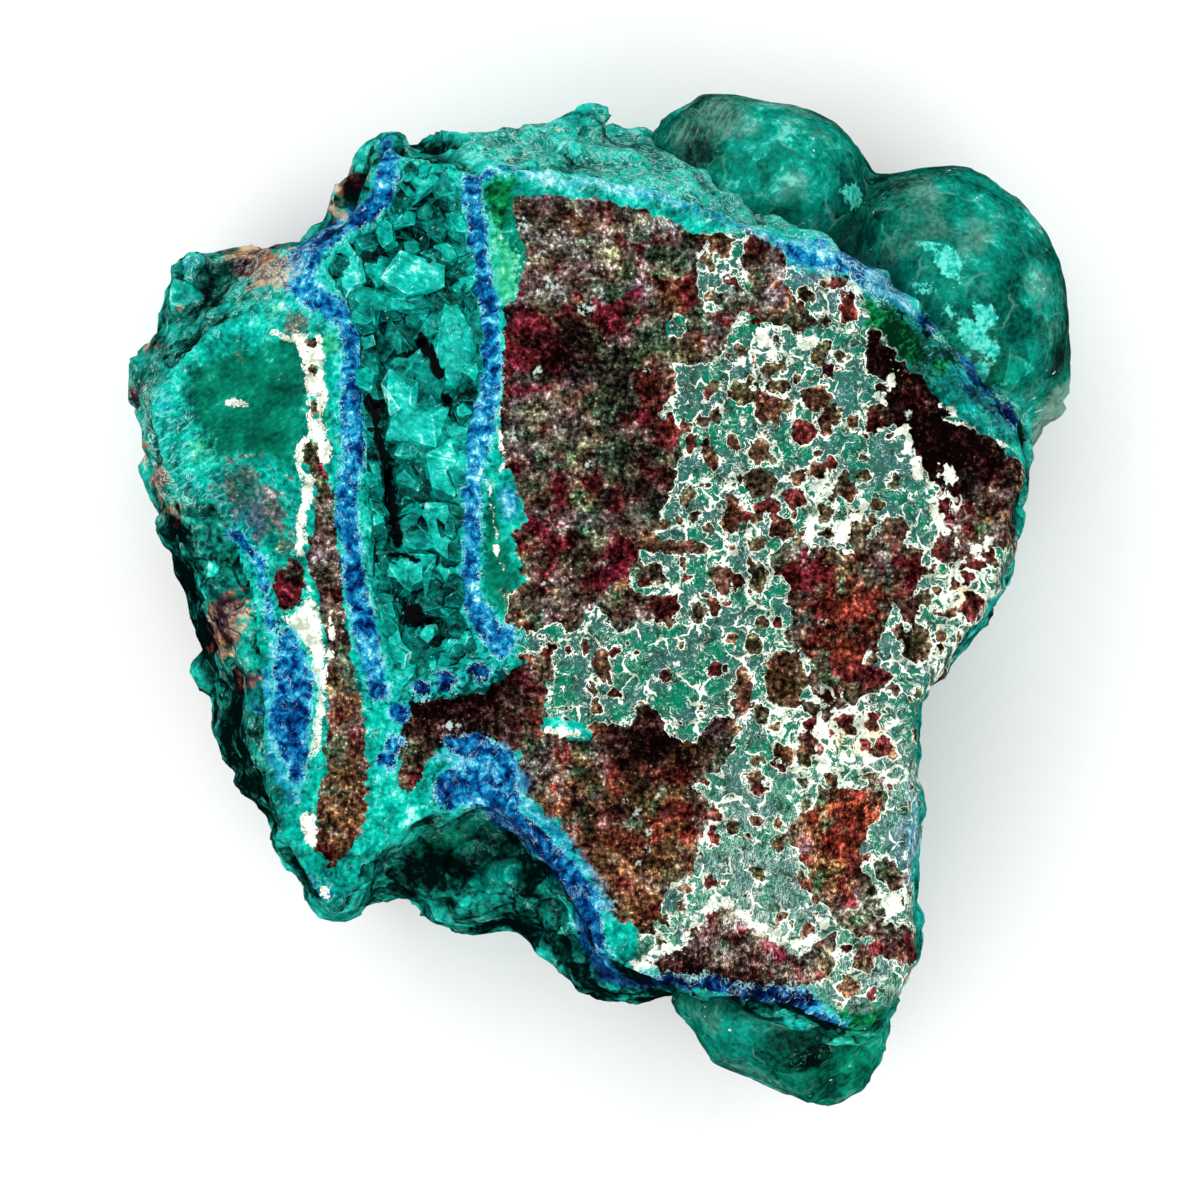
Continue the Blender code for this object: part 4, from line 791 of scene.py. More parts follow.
def polished_finish():
    """The saw cut: every mineral in it, as a flat pattern."""
    look = Finish("polished copper ore", flat=True)
    patch = look.noise(0.45, 3.0, 0.55, 0.3)
    mottle = look.noise(1.0, 5.0, 0.6, 0.2)
    grain = look.noise(3.2, 2.0, 0.6)
    dust = look.noise(6.0, 1.0, 0.5)
    fray = look.swing(look.noise(1.4, 2.0, 0.5), 0.9)
    hair = look.ridge(look.noise(1.4, 2.0, 0.5, 0.5), 0.014)
    hair = look.times(hair, look.step(look.noise(0.9, 2.0), 0.50, 0.62))
    thorn = look.ridge(look.noise(1.9, 2.0, 0.6, 0.8), 0.055)
    upright = look.ridge(look.noise(2.2, 2.0, 0.6, 0.5, look.stretched(82, 1.0, 0.32)), 0.05)
    upright = look.times(upright, look.attribute("fleck"))

    # Chrysocolla, the blue-green ground that everything else lies in.
    value = look.add(0.47, look.swing(patch, 0.9), look.swing(mottle, 1.2), look.swing(grain, 0.8),
                     look.times(look.attribute("bright"), 0.20), look.times(look.attribute("dark"), -0.4))
    ground = look.ramp(value, (0.0, 0, 50, 48), (0.25, 0, 94, 84), (0.48, 0, 142, 126),
                       (0.7, 0, 184, 164), (0.87, 84, 212, 196), (1.0, 186, 234, 226))

    # Woolly blue chrysocolla, in the bands and here and there in the ground.
    wool = look.add(0.47, look.swing(look.noise(1.7, 4.0, 0.7, 0.3), 2.0), look.swing(patch, 1.1),
                    look.times(look.attribute("dark"), -0.45), look.times(look.attribute("bright"), 0.15))
    body = look.ramp(wool, (0.0, 0, 6, 36), (0.28, 0, 46, 102), (0.52, 4, 104, 154),
                     (0.74, 40, 154, 186), (0.9, 120, 202, 216), (1.0, 206, 234, 238))
    cool = look.step(look.add(look.attribute("cool"), look.swing(mottle, 2.0)), 0.35, 0.75)
    ground = look.mix(look.times(cool, 0.8), ground, body)

    # Clear green dioptase, darker and smoother than the ground.
    glass = look.add(look.attribute("glass"), look.times(fray, 1.8))
    run = look.noise(1.0, 4.0, 0.65, 0.0, look.stretched(35, 0.8, 0.22))
    clear = look.add(0.45, look.swing(patch, 1.1), look.swing(run, 0.7), look.swing(mottle, 0.7),
                     look.swing(grain, 0.5))
    green = look.ramp(clear, (0.05, 0, 52, 42), (0.35, 0, 88, 68), (0.6, 0, 114, 90),
                      (0.82, 6, 142, 116), (1.0, 96, 190, 166))
    ground = look.mix(look.times(hair, 0.7), ground, paint(186, 232, 226))
    streak = look.times(look.step(run, 0.53, 0.66), look.attribute("fibre"), 0.8)
    ground = look.mix(streak, ground, paint(100, 200, 204))
    ground = look.mix(look.step(glass, -0.9, 0.3), ground, green)
    vivid = look.step(look.add(look.attribute("vivid"), fray), 0.2, 0.6)
    grass = look.ramp(look.add(value, look.swing(run, 1.4), -0.1), (0.0, 0, 34, 18), (0.4, 0, 104, 54),
                      (0.7, 20, 152, 84), (1.0, 140, 214, 160))
    ground = look.mix(vivid, ground, grass)
    pasture = look.ramp(value, (0.1, 0, 110, 76), (0.5, 34, 164, 120), (0.75, 90, 194, 150),
                        (1.0, 214, 238, 216))
    milk = look.step(look.add(look.attribute("milk"), look.swing(grain, 1.2)), 0.25, 0.6)
    ground = look.mix(milk, ground, pasture)

    # Grey-green ground under the web, with fine white scratches.
    in_web = look.step(look.add(look.attribute("web"), look.times(fray, 1.6)), -0.2, 0.3)
    felt = look.mix(look.step(patch, 0.43, 0.58), paint(44, 92, 84), paint(0, 106, 78))
    slate = look.step(look.add(look.attribute("cool"), look.swing(patch, 2.0)), 0.2, 0.9)
    felt = look.mix(look.times(slate, 0.8), felt, paint(62, 94, 112))
    felt = look.mix(look.step(mottle, 0.30, 0.48), paint(30, 62, 46), felt)
    shade = look.add(1.0, look.swing(mottle, 0.8), look.swing(grain, 1.0), look.swing(dust, 0.6))
    felt = look.tinted(felt, shade)
    scratch = look.ridge(look.noise(2.8, 1.0, 0.5, 0.6), 0.030)
    scratch = look.times(scratch, look.step(grain, 0.44, 0.58))
    scratch = look.most(scratch, hair, look.times(upright, look.step(mottle, 0.34, 0.50)))
    felt = look.mix(look.times(scratch, 0.85), felt, paint(196, 216, 206))
    ground = look.mix(in_web, ground, felt)

    # The small lumps in the web, each with its own brown, and the smaller ones strewn between them.
    fine = look.swing(dust, 0.14)
    near, tint = look.cells(CRUMB_SCALE, "F1", look.shifted(1.6, 0.35), tinted=True)
    parts = look.node("ShaderNodeSeparateColor", tint)
    crumb = look.add(look.times(parts.outputs[0], 0.66), -0.17, look.times(near, -1 / CRUMB_SCALE))
    crumb = look.math("MINIMUM", crumb, look.attribute("web"))
    known = look.attribute("lumps")
    is_crumb = look.step(look.add(crumb, look.times(known, -1.0)), -0.01, 0.01)
    lump_tone = look.add(look.times(is_crumb, parts.outputs[1]),
                         look.times(look.rest(is_crumb), look.attribute("lump_tone")))
    lump_edge = look.add(look.most(known, crumb), fray, fine, 0.03)
    in_lump = look.step(lump_edge, -0.04, 0.06)
    iron_edge = look.add(look.attribute("ironstone"), look.times(fray, 1.1), fine)
    in_iron = look.step(iron_edge, -0.05, 0.05)

    # Ironstone: near-black to nearly white grains under a tint of brown, red, rust, green or grey.
    dark = look.attribute("dark")
    blotch = look.noise(0.6, 4.0, 0.6, 0.2)
    other = look.noise(0.5, 4.0, 0.6, 0.2, look.elsewhere)
    # The pale specks in the grains are partly the stone's own and partly painted sparkle.
    level = look.add(0.44, look.swing(blotch, 1.0), look.swing(mottle, 1.2), look.swing(grain, 1.4),
                     look.swing(dust, 0.35), look.times(look.attribute("grey"), 0.10),
                     look.times(dark, -0.50), look.times(upright, 0.44),
                     look.times(look.step(dust, 0.72, 0.80), 0.35))
    grains = look.ramp(level, (0.0, 8, 4, 5), (0.25, 34, 24, 22), (0.5, 76, 64, 58),
                       (0.7, 116, 104, 96), (0.86, 160, 152, 144), (1.0, 222, 218, 208))
    share = look.step(look.add(look.times(look.attribute("rust"), 0.4), other), 0.55, 0.76)
    tint = look.mix(look.times(share, 0.9), (0.98, 0.93, 0.82, 1), (1.30, 0.74, 0.36, 1))
    greenness = look.add(look.times(look.attribute("green"), 0.28), look.times(other, -1.0), 1.0)
    share = look.step(greenness, 0.54, 0.68)
    tint = look.mix(look.times(share, 0.9), tint, (0.36, 1.0, 0.66, 1))
    share = look.step(look.add(look.times(look.attribute("grey"), 0.25), blotch), 0.56, 0.72)
    tint = look.mix(look.times(share, 0.7), tint, (0.95, 0.97, 1.02, 1))
    share = look.step(look.add(look.times(look.attribute("red"), 0.28), other), 0.57, 0.70)
    brick = look.mix(look.attribute("rust"), (0.66, 0.06, 0.14, 1), (1.20, 0.26, 0.16, 1))
    tint = look.mix(look.times(share, 0.97), tint, brick)
    tint = look.mix(look.times(dark, 0.7), tint, (0.9, 0.30, 0.36, 1))
    lump_tint = look.mix(look.step(lump_tone, 0.2, 0.3), (0.80, 0.84, 0.54, 1), (1.0, 0.62, 0.42, 1))
    lump_tint = look.mix(look.step(lump_tone, 0.7, 0.8), lump_tint, (0.85, 0.22, 0.22, 1))
    lump_tint = look.tinted(lump_tint, look.add(1.15, look.times(look.step(lump_edge, 0.0, 0.5), -0.45)))
    tint = look.mix(in_lump, tint, lump_tint)
    stone = look.product(grains, tint)
    hues = look.noise(0.5, 2.0, 0.5, color=True)
    hues = look.vector("MULTIPLY_ADD", hues, (0.9, 0.9, 0.8), (0.54, 0.57, 0.60))
    stone = look.product(stone, look.vector("MAXIMUM", hues, (0.1, 0.1, 0.1)))
    spot = look.step(look.add(look.attribute("pale"), fray), 0.02, 0.2)
    stone = look.mix(look.times(spot, look.step(grain, 0.44, 0.60), 0.9), stone, paint(170, 192, 184))
    in_stone = look.most(in_iron, in_lump)
    smudge = look.step(look.add(look.attribute("smudge"), look.swing(mottle, 2.4)), 0.45, 0.75)
    ground = look.mix(look.times(smudge, 0.75), ground, stone)
    coloured = look.mix(in_stone, ground, stone)
    # Pale blue down along the bands' soft sides.
    mist = look.add(look.attribute("mist"), look.swing(mottle, 1.6), look.swing(grain, 1.2))
    mist = look.step(mist, -0.3, 0.5)
    down = look.ramp(wool, (0.1, 0, 84, 132), (0.45, 30, 142, 172), (0.7, 120, 194, 206),
                     (1.0, 220, 238, 238))
    coloured = look.mix(look.times(mist, 0.85), coloured, down)

    # The white web: thorny rims round the lumps and the ironstone, and threads between them.
    cream = look.attribute("cream")
    gate = look.step(look.noise(0.7, 3.0, 0.6), 0.34, 0.54)
    swell = look.times(look.step(mottle, 0.54, 0.70), 0.14)
    swell = look.add(look.times(gate, 0.06), swell, look.times(cream, 0.12))
    spread = look.add(swell, look.times(thorn, gate, 0.26))
    side = look.most(iron_edge, lump_edge)
    rim = look.step(look.add(side, spread), -0.02, 0.02)
    rim = look.times(rim, look.step(side, 0.03, -0.03), look.step(spread, 0.015, 0.05))
    thread_width = look.times(look.step(look.noise(0.6, 2.0), 0.47, 0.68), 0.08)
    thread = look.cells(0.66, "DISTANCE_TO_EDGE", look.shifted(3.0, 0.08, look.shifted(1.0, 0.6)))
    thread = look.step(thread, look.add(thread_width, 0.012), look.times(thread_width, 0.5))
    thread = look.times(thread, look.step(thread_width, 0.002, 0.01))
    thread = look.times(thread, look.rest(in_stone))
    patches = look.add(look.noise(1.5, 3.0, 0.65, 0.8), look.times(cream, 0.12))
    patches = look.times(look.step(patches, 0.60, 0.64), look.step(cream, 0.1, 0.5))
    patches = look.times(patches, look.rest(in_lump))
    web = look.times(look.most(thread, patches, rim), in_web)
    ragged = look.add(0.7, look.times(in_web, 1.0))
    white = look.add(look.attribute("white"), look.times(fray, ragged), look.swing(grain, 0.22),
                     look.times(thorn, -0.22))
    white = look.step(white, -0.04, 0.04)
    web = look.most(web, white)
    chalk = look.mix(look.step(mottle, 0.34, 0.54), paint(166, 176, 156), paint(228, 233, 218))
    warm = look.times(look.step(cream, 0.6, 0.95), look.step(other, 0.42, 0.60), 0.5)
    chalk = look.mix(warm, chalk, paint(226, 190, 140))
    chalk = look.tinted(chalk, look.add(1.0, look.swing(dust, 0.5)))
    coloured = look.mix(web, coloured, chalk)

    # The blue bands, with a ragged pale skin where they meet the ground.
    band = look.add(look.attribute("blue"), look.times(fray, 0.9), look.swing(grain, 0.35))
    halo = look.times(look.step(band, -0.6, -0.1), look.step(grain, 0.38, 0.56), 0.7)
    halo = look.times(halo, look.rest(in_iron))
    coloured = look.mix(halo, coloured, paint(20, 178, 176))
    nap = look.times(upright, look.step(mottle, 0.54, 0.64), 0.6)
    nap = look.most(look.times(hair, 0.6), nap)
    coloured = look.mix(look.step(band, -0.10, 0.10), coloured, look.mix(nap, body, paint(176, 222, 232)))
    skin = look.ridge(look.add(band, 0.5, look.swing(dust, 0.8)), 0.13)
    skin = look.times(skin, look.step(mottle, 0.42, 0.60), 0.65)
    coloured = look.mix(skin, coloured, paint(160, 226, 230))

    rough = look.add(0.24, look.times(grain, 0.12))
    look.surface(Base_Color=coloured, Roughness=rough, Specular_IOR_Level=GLEAM)
    look.bump(grain, 0.25, 0.06)
    return look.material


def rind_finish():
    """The broken sides: green glass, blue-green crust and bare ironstone."""
    look = Finish("broken ore and rind")
    patch = look.noise(0.4, 3.0, 0.6)
    mottle = look.noise(1.0, 4.0, 0.65, 0.2)
    grit = look.noise(3.2, 2.0, 0.6)
    # Painted light and shade: the broken surface's high points are lightened and its low points darkened.
    relief_light_and_shade = look.times(look.step(look.attribute("rise"), -0.34, 0.34), 0.4)
    bent = look.shifted(1.0, 0.35, look.place)
    # Painted shade: thin dark lines in the crevices between the lumps.
    cleft_shade = look.step(look.cells(0.5, "DISTANCE_TO_EDGE", bent), 0.07, 0.0)
    cleft_shade = look.times(cleft_shade, look.step(look.noise(0.5, 2.0), 0.44, 0.56))
    value = look.add(-0.16, look.swing(patch, 1.0), look.swing(mottle, 1.2), look.swing(grit, 0.7), relief_light_and_shade,
                     look.times(look.chips(0.5, bent), 0.46), look.times(look.chips(1.4), 0.24),
                     look.times(cleft_shade, -0.30),
                     look.times(look.attribute("bright"), 0.18), look.times(look.attribute("dark"), -0.45))
    # Where it is fibrous it is paler and more even.
    fibre = look.attribute("fibre")
    value = look.add(look.times(value, look.add(1.0, look.times(fibre, -0.4))), look.times(fibre, 0.29))
    crust = look.ramp(value, (0.0, 0, 14, 14), (0.2, 0, 62, 54), (0.42, 0, 112, 98),
                      (0.64, 0, 158, 142), (0.84, 6, 190, 172), (0.96, 90, 212, 198),
                      (1.0, 160, 228, 220))
    navy = look.ramp(value, (0.0, 0, 8, 30), (0.3, 2, 46, 100), (0.55, 12, 100, 150),
                     (0.8, 60, 160, 192), (1.0, 180, 226, 234))
    blue = look.most(look.attribute("blue"), -0.4)
    blue = look.add(blue, look.times(look.attribute("cool"), 0.8), look.swing(mottle, 2.0))
    crust = look.mix(look.step(blue, 0.1, 0.5), crust, navy)
    vivid = look.times(look.attribute("vivid"), look.step(mottle, 0.38, 0.54))
    crust = look.mix(vivid, crust, look.ramp(value, (0.1, 0, 40, 14), (0.6, 0, 130, 50),
                                             (1.0, 120, 220, 150)))
    bared = look.add(value, 0.12)
    bare = look.ramp(bared, (0.0, 12, 4, 10), (0.3, 44, 20, 30), (0.5, 80, 54, 52),
                     (0.7, 122, 100, 86), (1.0, 190, 172, 146))
    orange = look.ramp(bared, (0.0, 16, 6, 4), (0.4, 92, 46, 24), (0.7, 158, 98, 54),
                       (1.0, 214, 180, 140))
    bare = look.mix(look.step(patch, 0.48, 0.58), bare, orange)
    bare_share = look.add(look.attribute("bare"), look.swing(mottle, 2.6), look.swing(grit, 0.8))
    bare_share = look.step(bare_share, 0.5, 0.7)
    crust = look.mix(bare_share, crust, bare)
    hair = look.ridge(look.noise(2.0, 2.0, 0.5, 1.0), look.add(look.times(fibre, 0.025), 0.022))
    hair = look.times(hair, look.step(look.add(look.noise(0.7, 2.0), look.times(fibre, 0.2)), 0.52, 0.62))
    hair = look.times(hair, look.step(value, 0.1, 0.5))
    veil = look.noise(1.2, 3.0, 0.6, where=look.stretched(-38, 2.0, 0.22))
    veil = look.times(look.step(veil, 0.58, 0.72), look.add(look.times(fibre, 0.6), 0.1),
                      look.step(value, 0.1, 0.4))
    crust = look.mix(look.most(veil, look.times(hair, 0.8)), crust, paint(176, 220, 212))
    rough = look.add(0.2, look.times(grit, 0.2), look.times(bare_share, 0.3))
    look.surface(Base_Color=crust, Roughness=rough, Specular_IOR_Level=GLEAM)
    look.bump(look.add(grit, mottle), 0.5, 0.15)
    return look.material


ore.data.materials.clear()
ore.data.materials.append(polished_finish())
ore.data.materials.append(rind_finish())
# On the right, from WORN_FROM over the next few millimetres, the cut runs out to the specimen's edge, and the
# minerals show on its worn corner too, down to a ragged depth.
WORN_FROM, WORN_OVER = 16, 3
WORN_OUT = 1.6
RIND_DEPTH = 0.5
WORN_DEPTH = 2.8
# (height, size, seed) of what makes the face's edge and the worn corner's foot ragged.
EDGE_RAGGED = (0.25, 1.0, 11)
WORN_RAGGED = (1.4, 2.0, 13)

worn = np.clip((ore_points[:, 0] - WORN_FROM) / WORN_OVER, 0, 1)
rind = -side_of(ore_points, FACE_EDGE) + lumps(ore_points, *EDGE_RAGGED) - WORN_OUT * worn
worn_depth = (WORN_DEPTH + lumps(ore_points, *WORN_RAGGED)) * worn
rind = np.maximum(rind, FACE_Z / MM - RIND_DEPTH - worn_depth - ore_points[:, 2])
for polygon in ore.data.polygons:
    polygon.material_index = int(max(rind[corner] for corner in polygon.vertices) > 0)
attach(ore, "root")
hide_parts("matrix_rock")


# ---- The pocket's crystals ----
# Broken dioptase that fills the long pocket from wall to wall. Each block is one crystal split along its
# cleavage, flat on top and tilted its own way, with gaps between that are painted dark as shade. All of them
# grew from the wall.

# In millimetres: how high the crystals may reach, just under the face, and how high the bed under them lies.
UNDER_FACE = 0.05
POCKET_TOP = FACE_Z / MM - UNDER_FACE
BED_Z = 17.6
# Gaps between the blocks, as (x, y, half width) points. The blocks in them sink and are painted near black,
# as shade.
SLOTS = [
    [(-13.5, 11.3, 0.25), (-12.05, 3.3, 0.25)], [(-12.6, 2.8, 0.14), (-10.8, 2.4, 0.14)],
    [(-10.8, 15.8, 0.3), (-9.6, 13.6, 0.3)], [(-13.9, 11.8, 0.4), (-13.1, 11.6, 0.4)],
    [(-9.3, 12.2, 0.3), (-9.2, 11.8, 0.3)], [(-11.2, -0.6, 0.5), (-11, -1.3, 0.5)],
]
# (x, y, half width, half height, turn, depth of its top, lean to the right, lean upwards, brightness)
# Each block's brightness is partly the crystal's own tone and partly painted shade: the deeper its top lies,
# the darker it is.
BLOCKS = [
    (-15.4, 19.8, 0.9, 1.4, 10, 0.2, -8, 4, 0.95), (-13.1, 21.2, 1.7, 1.6, 20, 1.1, 12, -6, 0.56),
    (-10.2, 23.2, 1.6, 1.3, -20, 1.3, 10, 10, 0.3), (-10.6, 25.4, 0.85, 1.1, -35, 0.5, -10, 4, 0.86),
    (-9.1, 25.2, 0.9, 1, 0, 0.8, -4, 8, 0.7), (-12.4, 23.4, 1, 1, 30, 0.7, 4, 12, 0.72),
    (-10.9, 20.9, 1.1, 1.1, 50, 2.2, 24, 10, 0.16), (-11.3, 19.3, 1.4, 1, -12, 0.5, 4, -8, 0.93),
    (-9.1, 20.9, 0.9, 0.5, -18, 0.8, -8, 8, 0.86), (-9.1, 19.2, 1.4, 1.3, 15, 1.2, -10, -4, 0.42),
    (-13.4, 18.8, 1.7, 0.9, -14, 1.3, 6, 18, 0.36), (-13, 17.7, 1.7, 0.6, -8, 0.6, 0, -14, 0.74),
    (-12.5, 16.4, 1.6, 1.2, -30, 1.5, 14, 10, 0.4), (-8.7, 17, 1.5, 0.8, 20, 0.9, -6, 12, 0.5),
    (-8.6, 15, 1.4, 2, 8, 0.5, -14, -4, 0.84), (-12.9, 14.6, 1.5, 1.4, 25, 1.5, 12, -6, 0.46),
    (-10.6, 13, 1.5, 1.3, -10, 1.1, 4, -10, 0.6), (-8.9, 12.4, 0.9, 1.4, -35, 1.8, -20, 8, 0.24),
    (-11.9, 12.3, 0.7, 1, 12, 0.5, 8, -6, 0.98), (-13.4, 12, 0.8, 0.7, 0, 1, 6, 6, 0.46),
    (-11.1, 10.6, 1.4, 1.2, 20, 0.35, -6, 10, 0.93), (-8.7, 9.6, 0.8, 1.1, 5, 0.5, -10, 0, 0.92),
    (-10.9, 8.8, 1.5, 1, 0, 1.5, 4, 12, 0.36), (-9.4, 7.7, 1.2, 1.5, 8, 0.5, -8, -4, 0.94),
    (-11.2, 6.2, 1.1, 1.9, -6, 1.5, 10, -6, 0.28), (-13.9, 5.6, 0.9, 2, -6, 0.5, 10, 4, 0.64),
    (-9.3, 4.4, 1.2, 1.8, 0, 0.6, -10, 6, 0.9), (-13.6, 8.9, 0.8, 1.7, -4, 0.7, 12, 0, 0.62),
    (-11.3, 4, 1, 1.3, 12, 1.2, 0, -10, 0.55), (-13, 2, 1.3, 1.2, 30, 1.2, 12, 6, 0.44),
    (-11.5, 1.6, 1.1, 0.9, 45, 0.7, -6, -10, 0.76), (-9, 1.6, 0.9, 1.4, 0, 0.7, -12, 0, 0.84),
    (-10.3, 0.3, 1.2, 1.1, 12, 1, -4, 12, 0.38), (-11.1, -1, 0.7, 1, -25, 1.2, 22, -14, 0.06),
    (-12.3, -1.1, 0.9, 1.2, 20, 0.9, 14, 0, 0.3), (-10.4, -2, 0.5, 0.5, 30, 0.8, 0, -10, 0.95),
    (-9.2, -0.8, 0.9, 1.2, 0, 1.2, -14, 4, 0.34), (-10.3, -3.3, 1.6, 1, 8, 1.1, 0, 14, 0.4),
    (-8.5, -2.7, 0.6, 0.8, -35, 0.4, -6, 6, 0.94), (-12.4, -3.6, 0.7, 1.2, 10, 0.4, 8, 6, 0.9),
    (-15, 21.6, 0.9, 0.6, 25, 0.6, 4, -10, 0.7), (-8.1, 22.8, 0.5, 1.3, 8, 0.6, -10, 0, 0.8),
    (-13.6, 0, 0.6, 1.3, 5, 0.5, 10, 0, 0.8), (-11.2, 17.2, 0.7, 0.7, 40, 1.9, 8, 20, 0.2),
]
# The width of a block's worn edges, in millimetres, and the number that marks their faces.
EDGE_WIDTH = 0.05
WORN_EDGE = 1
# A block's outline at its top, its shoulder and its foot, as shares of its size.
TOP_SHARE, SHOULDER_SHARE, FOOT_SHARE = 0.85, 1.35, 1.2
# What is drawn for each block: how many sides it has, how far down its shoulder lies, and how unevenly its
# corners turn, reach out and fall.
SIDES = (4, 4, 5, 5, 6)
SHOULDER_DROP = (0.3, 0.8)
UNEVEN_TURN = (-0.35, 0.35)
UNEVEN_REACH = (0.8, 1.2)
UNEVEN_FALL = (0.5, 1.5)
# Faces within this many degrees of each other are one cleavage face.
SAME_FACE = 4
# Heights from a block's top, in millimetres: it is tilted above the first, and its edges are worn above the
# second.
TILTED_ABOVE = -1.5
WORN_ABOVE = -0.6
# What a facet's brightness gains: one of three amounts on a worn edge, partly pale wear and partly painted
# highlight, and a random one on tops and sides, mostly darker on sides as painted shade.
EDGE_WEAR_AND_HIGHLIGHT_GAINS = (0.0, 0.05, 0.2)
TOP_GAIN = (-0.05, 0.05)
SIDE_SHADE_GAIN = (-0.34, 0.12)
# A facet whose normal points up by more than this is a top.
LEVEL_ENOUGH = 0.9


def crystal_block(x, y, wide, high, turn, depth, right, up, draw):
    """One split crystal: the hull of its top's corners, a wider shoulder below them and its foot."""
    bm = bmesh.new()
    sides = draw.choice(SIDES)
    start = draw.uniform(0, math.tau)
    foot = POCKET_TOP - depth - BED_Z
    for share, drop in ((TOP_SHARE, 0.0), (SHOULDER_SHARE, draw.uniform(*SHOULDER_DROP)), (FOOT_SHARE, foot)):
        for corner in range(sides):
            angle = start + (corner + draw.uniform(*UNEVEN_TURN)) * math.tau / sides
            reach = share * draw.uniform(*UNEVEN_REACH)
            fall = drop * draw.uniform(*UNEVEN_FALL) if drop < foot else drop
            bm.verts.new((reach * math.cos(angle), reach * math.sin(angle), -fall))
    hull = bmesh.ops.convex_hull(bm, input=bm.verts[:])
    left_over = hull["geom_interior"] + hull["geom_unused"]
    unused = {item for item in left_over if isinstance(item, bmesh.types.BMVert)}
    bmesh.ops.delete(bm, geom=list(unused), context="VERTS")
    bmesh.ops.dissolve_limit(bm, angle_limit=math.radians(SAME_FACE), verts=bm.verts[:], edges=bm.edges[:])
    bmesh.ops.scale(bm, vec=(wide, high, 1), verts=bm.verts[:])
    spin = Matrix.Rotation(math.radians(turn), 3, "Z")
    bmesh.ops.rotate(bm, cent=(0, 0, 0), matrix=spin, verts=bm.verts[:])
    tilt = Matrix.Rotation(math.radians(right), 3, "Y") @ Matrix.Rotation(math.radians(-up), 3, "X")
    bmesh.ops.rotate(bm, cent=(0, 0, 0), matrix=tilt, verts=[v for v in bm.verts if v.co.z > TILTED_ABOVE])
    bmesh.ops.recalc_face_normals(bm, faces=bm.faces[:])
    ridges = [edge for edge in bm.edges if min(v.co.z for v in edge.verts) > WORN_ABOVE]
    bmesh.ops.bevel(bm, geom=ridges, offset=EDGE_WIDTH, affect="EDGES", segments=1, profile=0.5,
                    material=WORN_EDGE)
    bmesh.ops.translate(bm, vec=(x, y, POCKET_TOP - depth), verts=bm.verts[:])
    return bm


def add_block(whole, layer, block, brightness, draw):
    """Adds one block to the whole, with each facet's brightness stored on it."""
    known = {}
    for face in block.faces:
        corners = []
        for vert in face.verts:
            if vert not in known:
                known[vert] = whole.verts.new(vert.co)
            corners.append(known[vert])
        facet = whole.faces.new(corners)
        if face.material_index == WORN_EDGE:
            facet[layer] = brightness + draw.choice(EDGE_WEAR_AND_HIGHLIGHT_GAINS)
        elif face.normal.z > LEVEL_ENOUGH:
            facet[layer] = brightness + draw.uniform(*TOP_GAIN)
        else:
            facet[layer] = brightness + draw.uniform(*SIDE_SHADE_GAIN)
    block.free()


SEED = 19
ANY_TURN = (0, 60)
# The small blocks on the bed: how far apart they stand, and what is drawn for each.
BED_SPACING = 0.9
BED_SHIFT = (-0.5, 0.5)
BED_SIZE = (0.5, 1.2)
BED_LEAN = (-30, 30)
BED_DEPTH = (0.7, 2.0)
BED_BRIGHTNESS = (0.1, 0.8)
# How far past the mouth's outline a block of the bed may still stand.
PAST_MOUTH = 0.3
# A block this near a gap sinks to the gap's depth and to a near-black brightness, which is painted shade.
GAP_REACH = 0.7
GAP_DEPTH, GAP_SHADE_BRIGHTNESS = 2.9, 0.02
# The row along the wall, which leans in: its spacing and lean, and what is drawn for each block.
WALL_SPACING = 0.8
WALL_LEAN = 14
WALL_SHIFT = (-0.1, 0.5)
WALL_WIDTH = (0.4, 0.9)
WALL_HEIGHT = (0.4, 1.0)
UNEVEN_LEAN = (-12, 12)
WALL_DEPTH = (0.0, 0.6)
WALL_BRIGHTNESS = (0.3, 0.85)
# The placed blocks are a little larger and lean more than their list says.
BLOCK_GAIN = 1.2
# What stands out past the lip is pulled back to it in a few rounds, each no further than the limit.
PULL_ROUNDS = 3
PULL_STEP = 0.05
PULL_LIMIT = 3


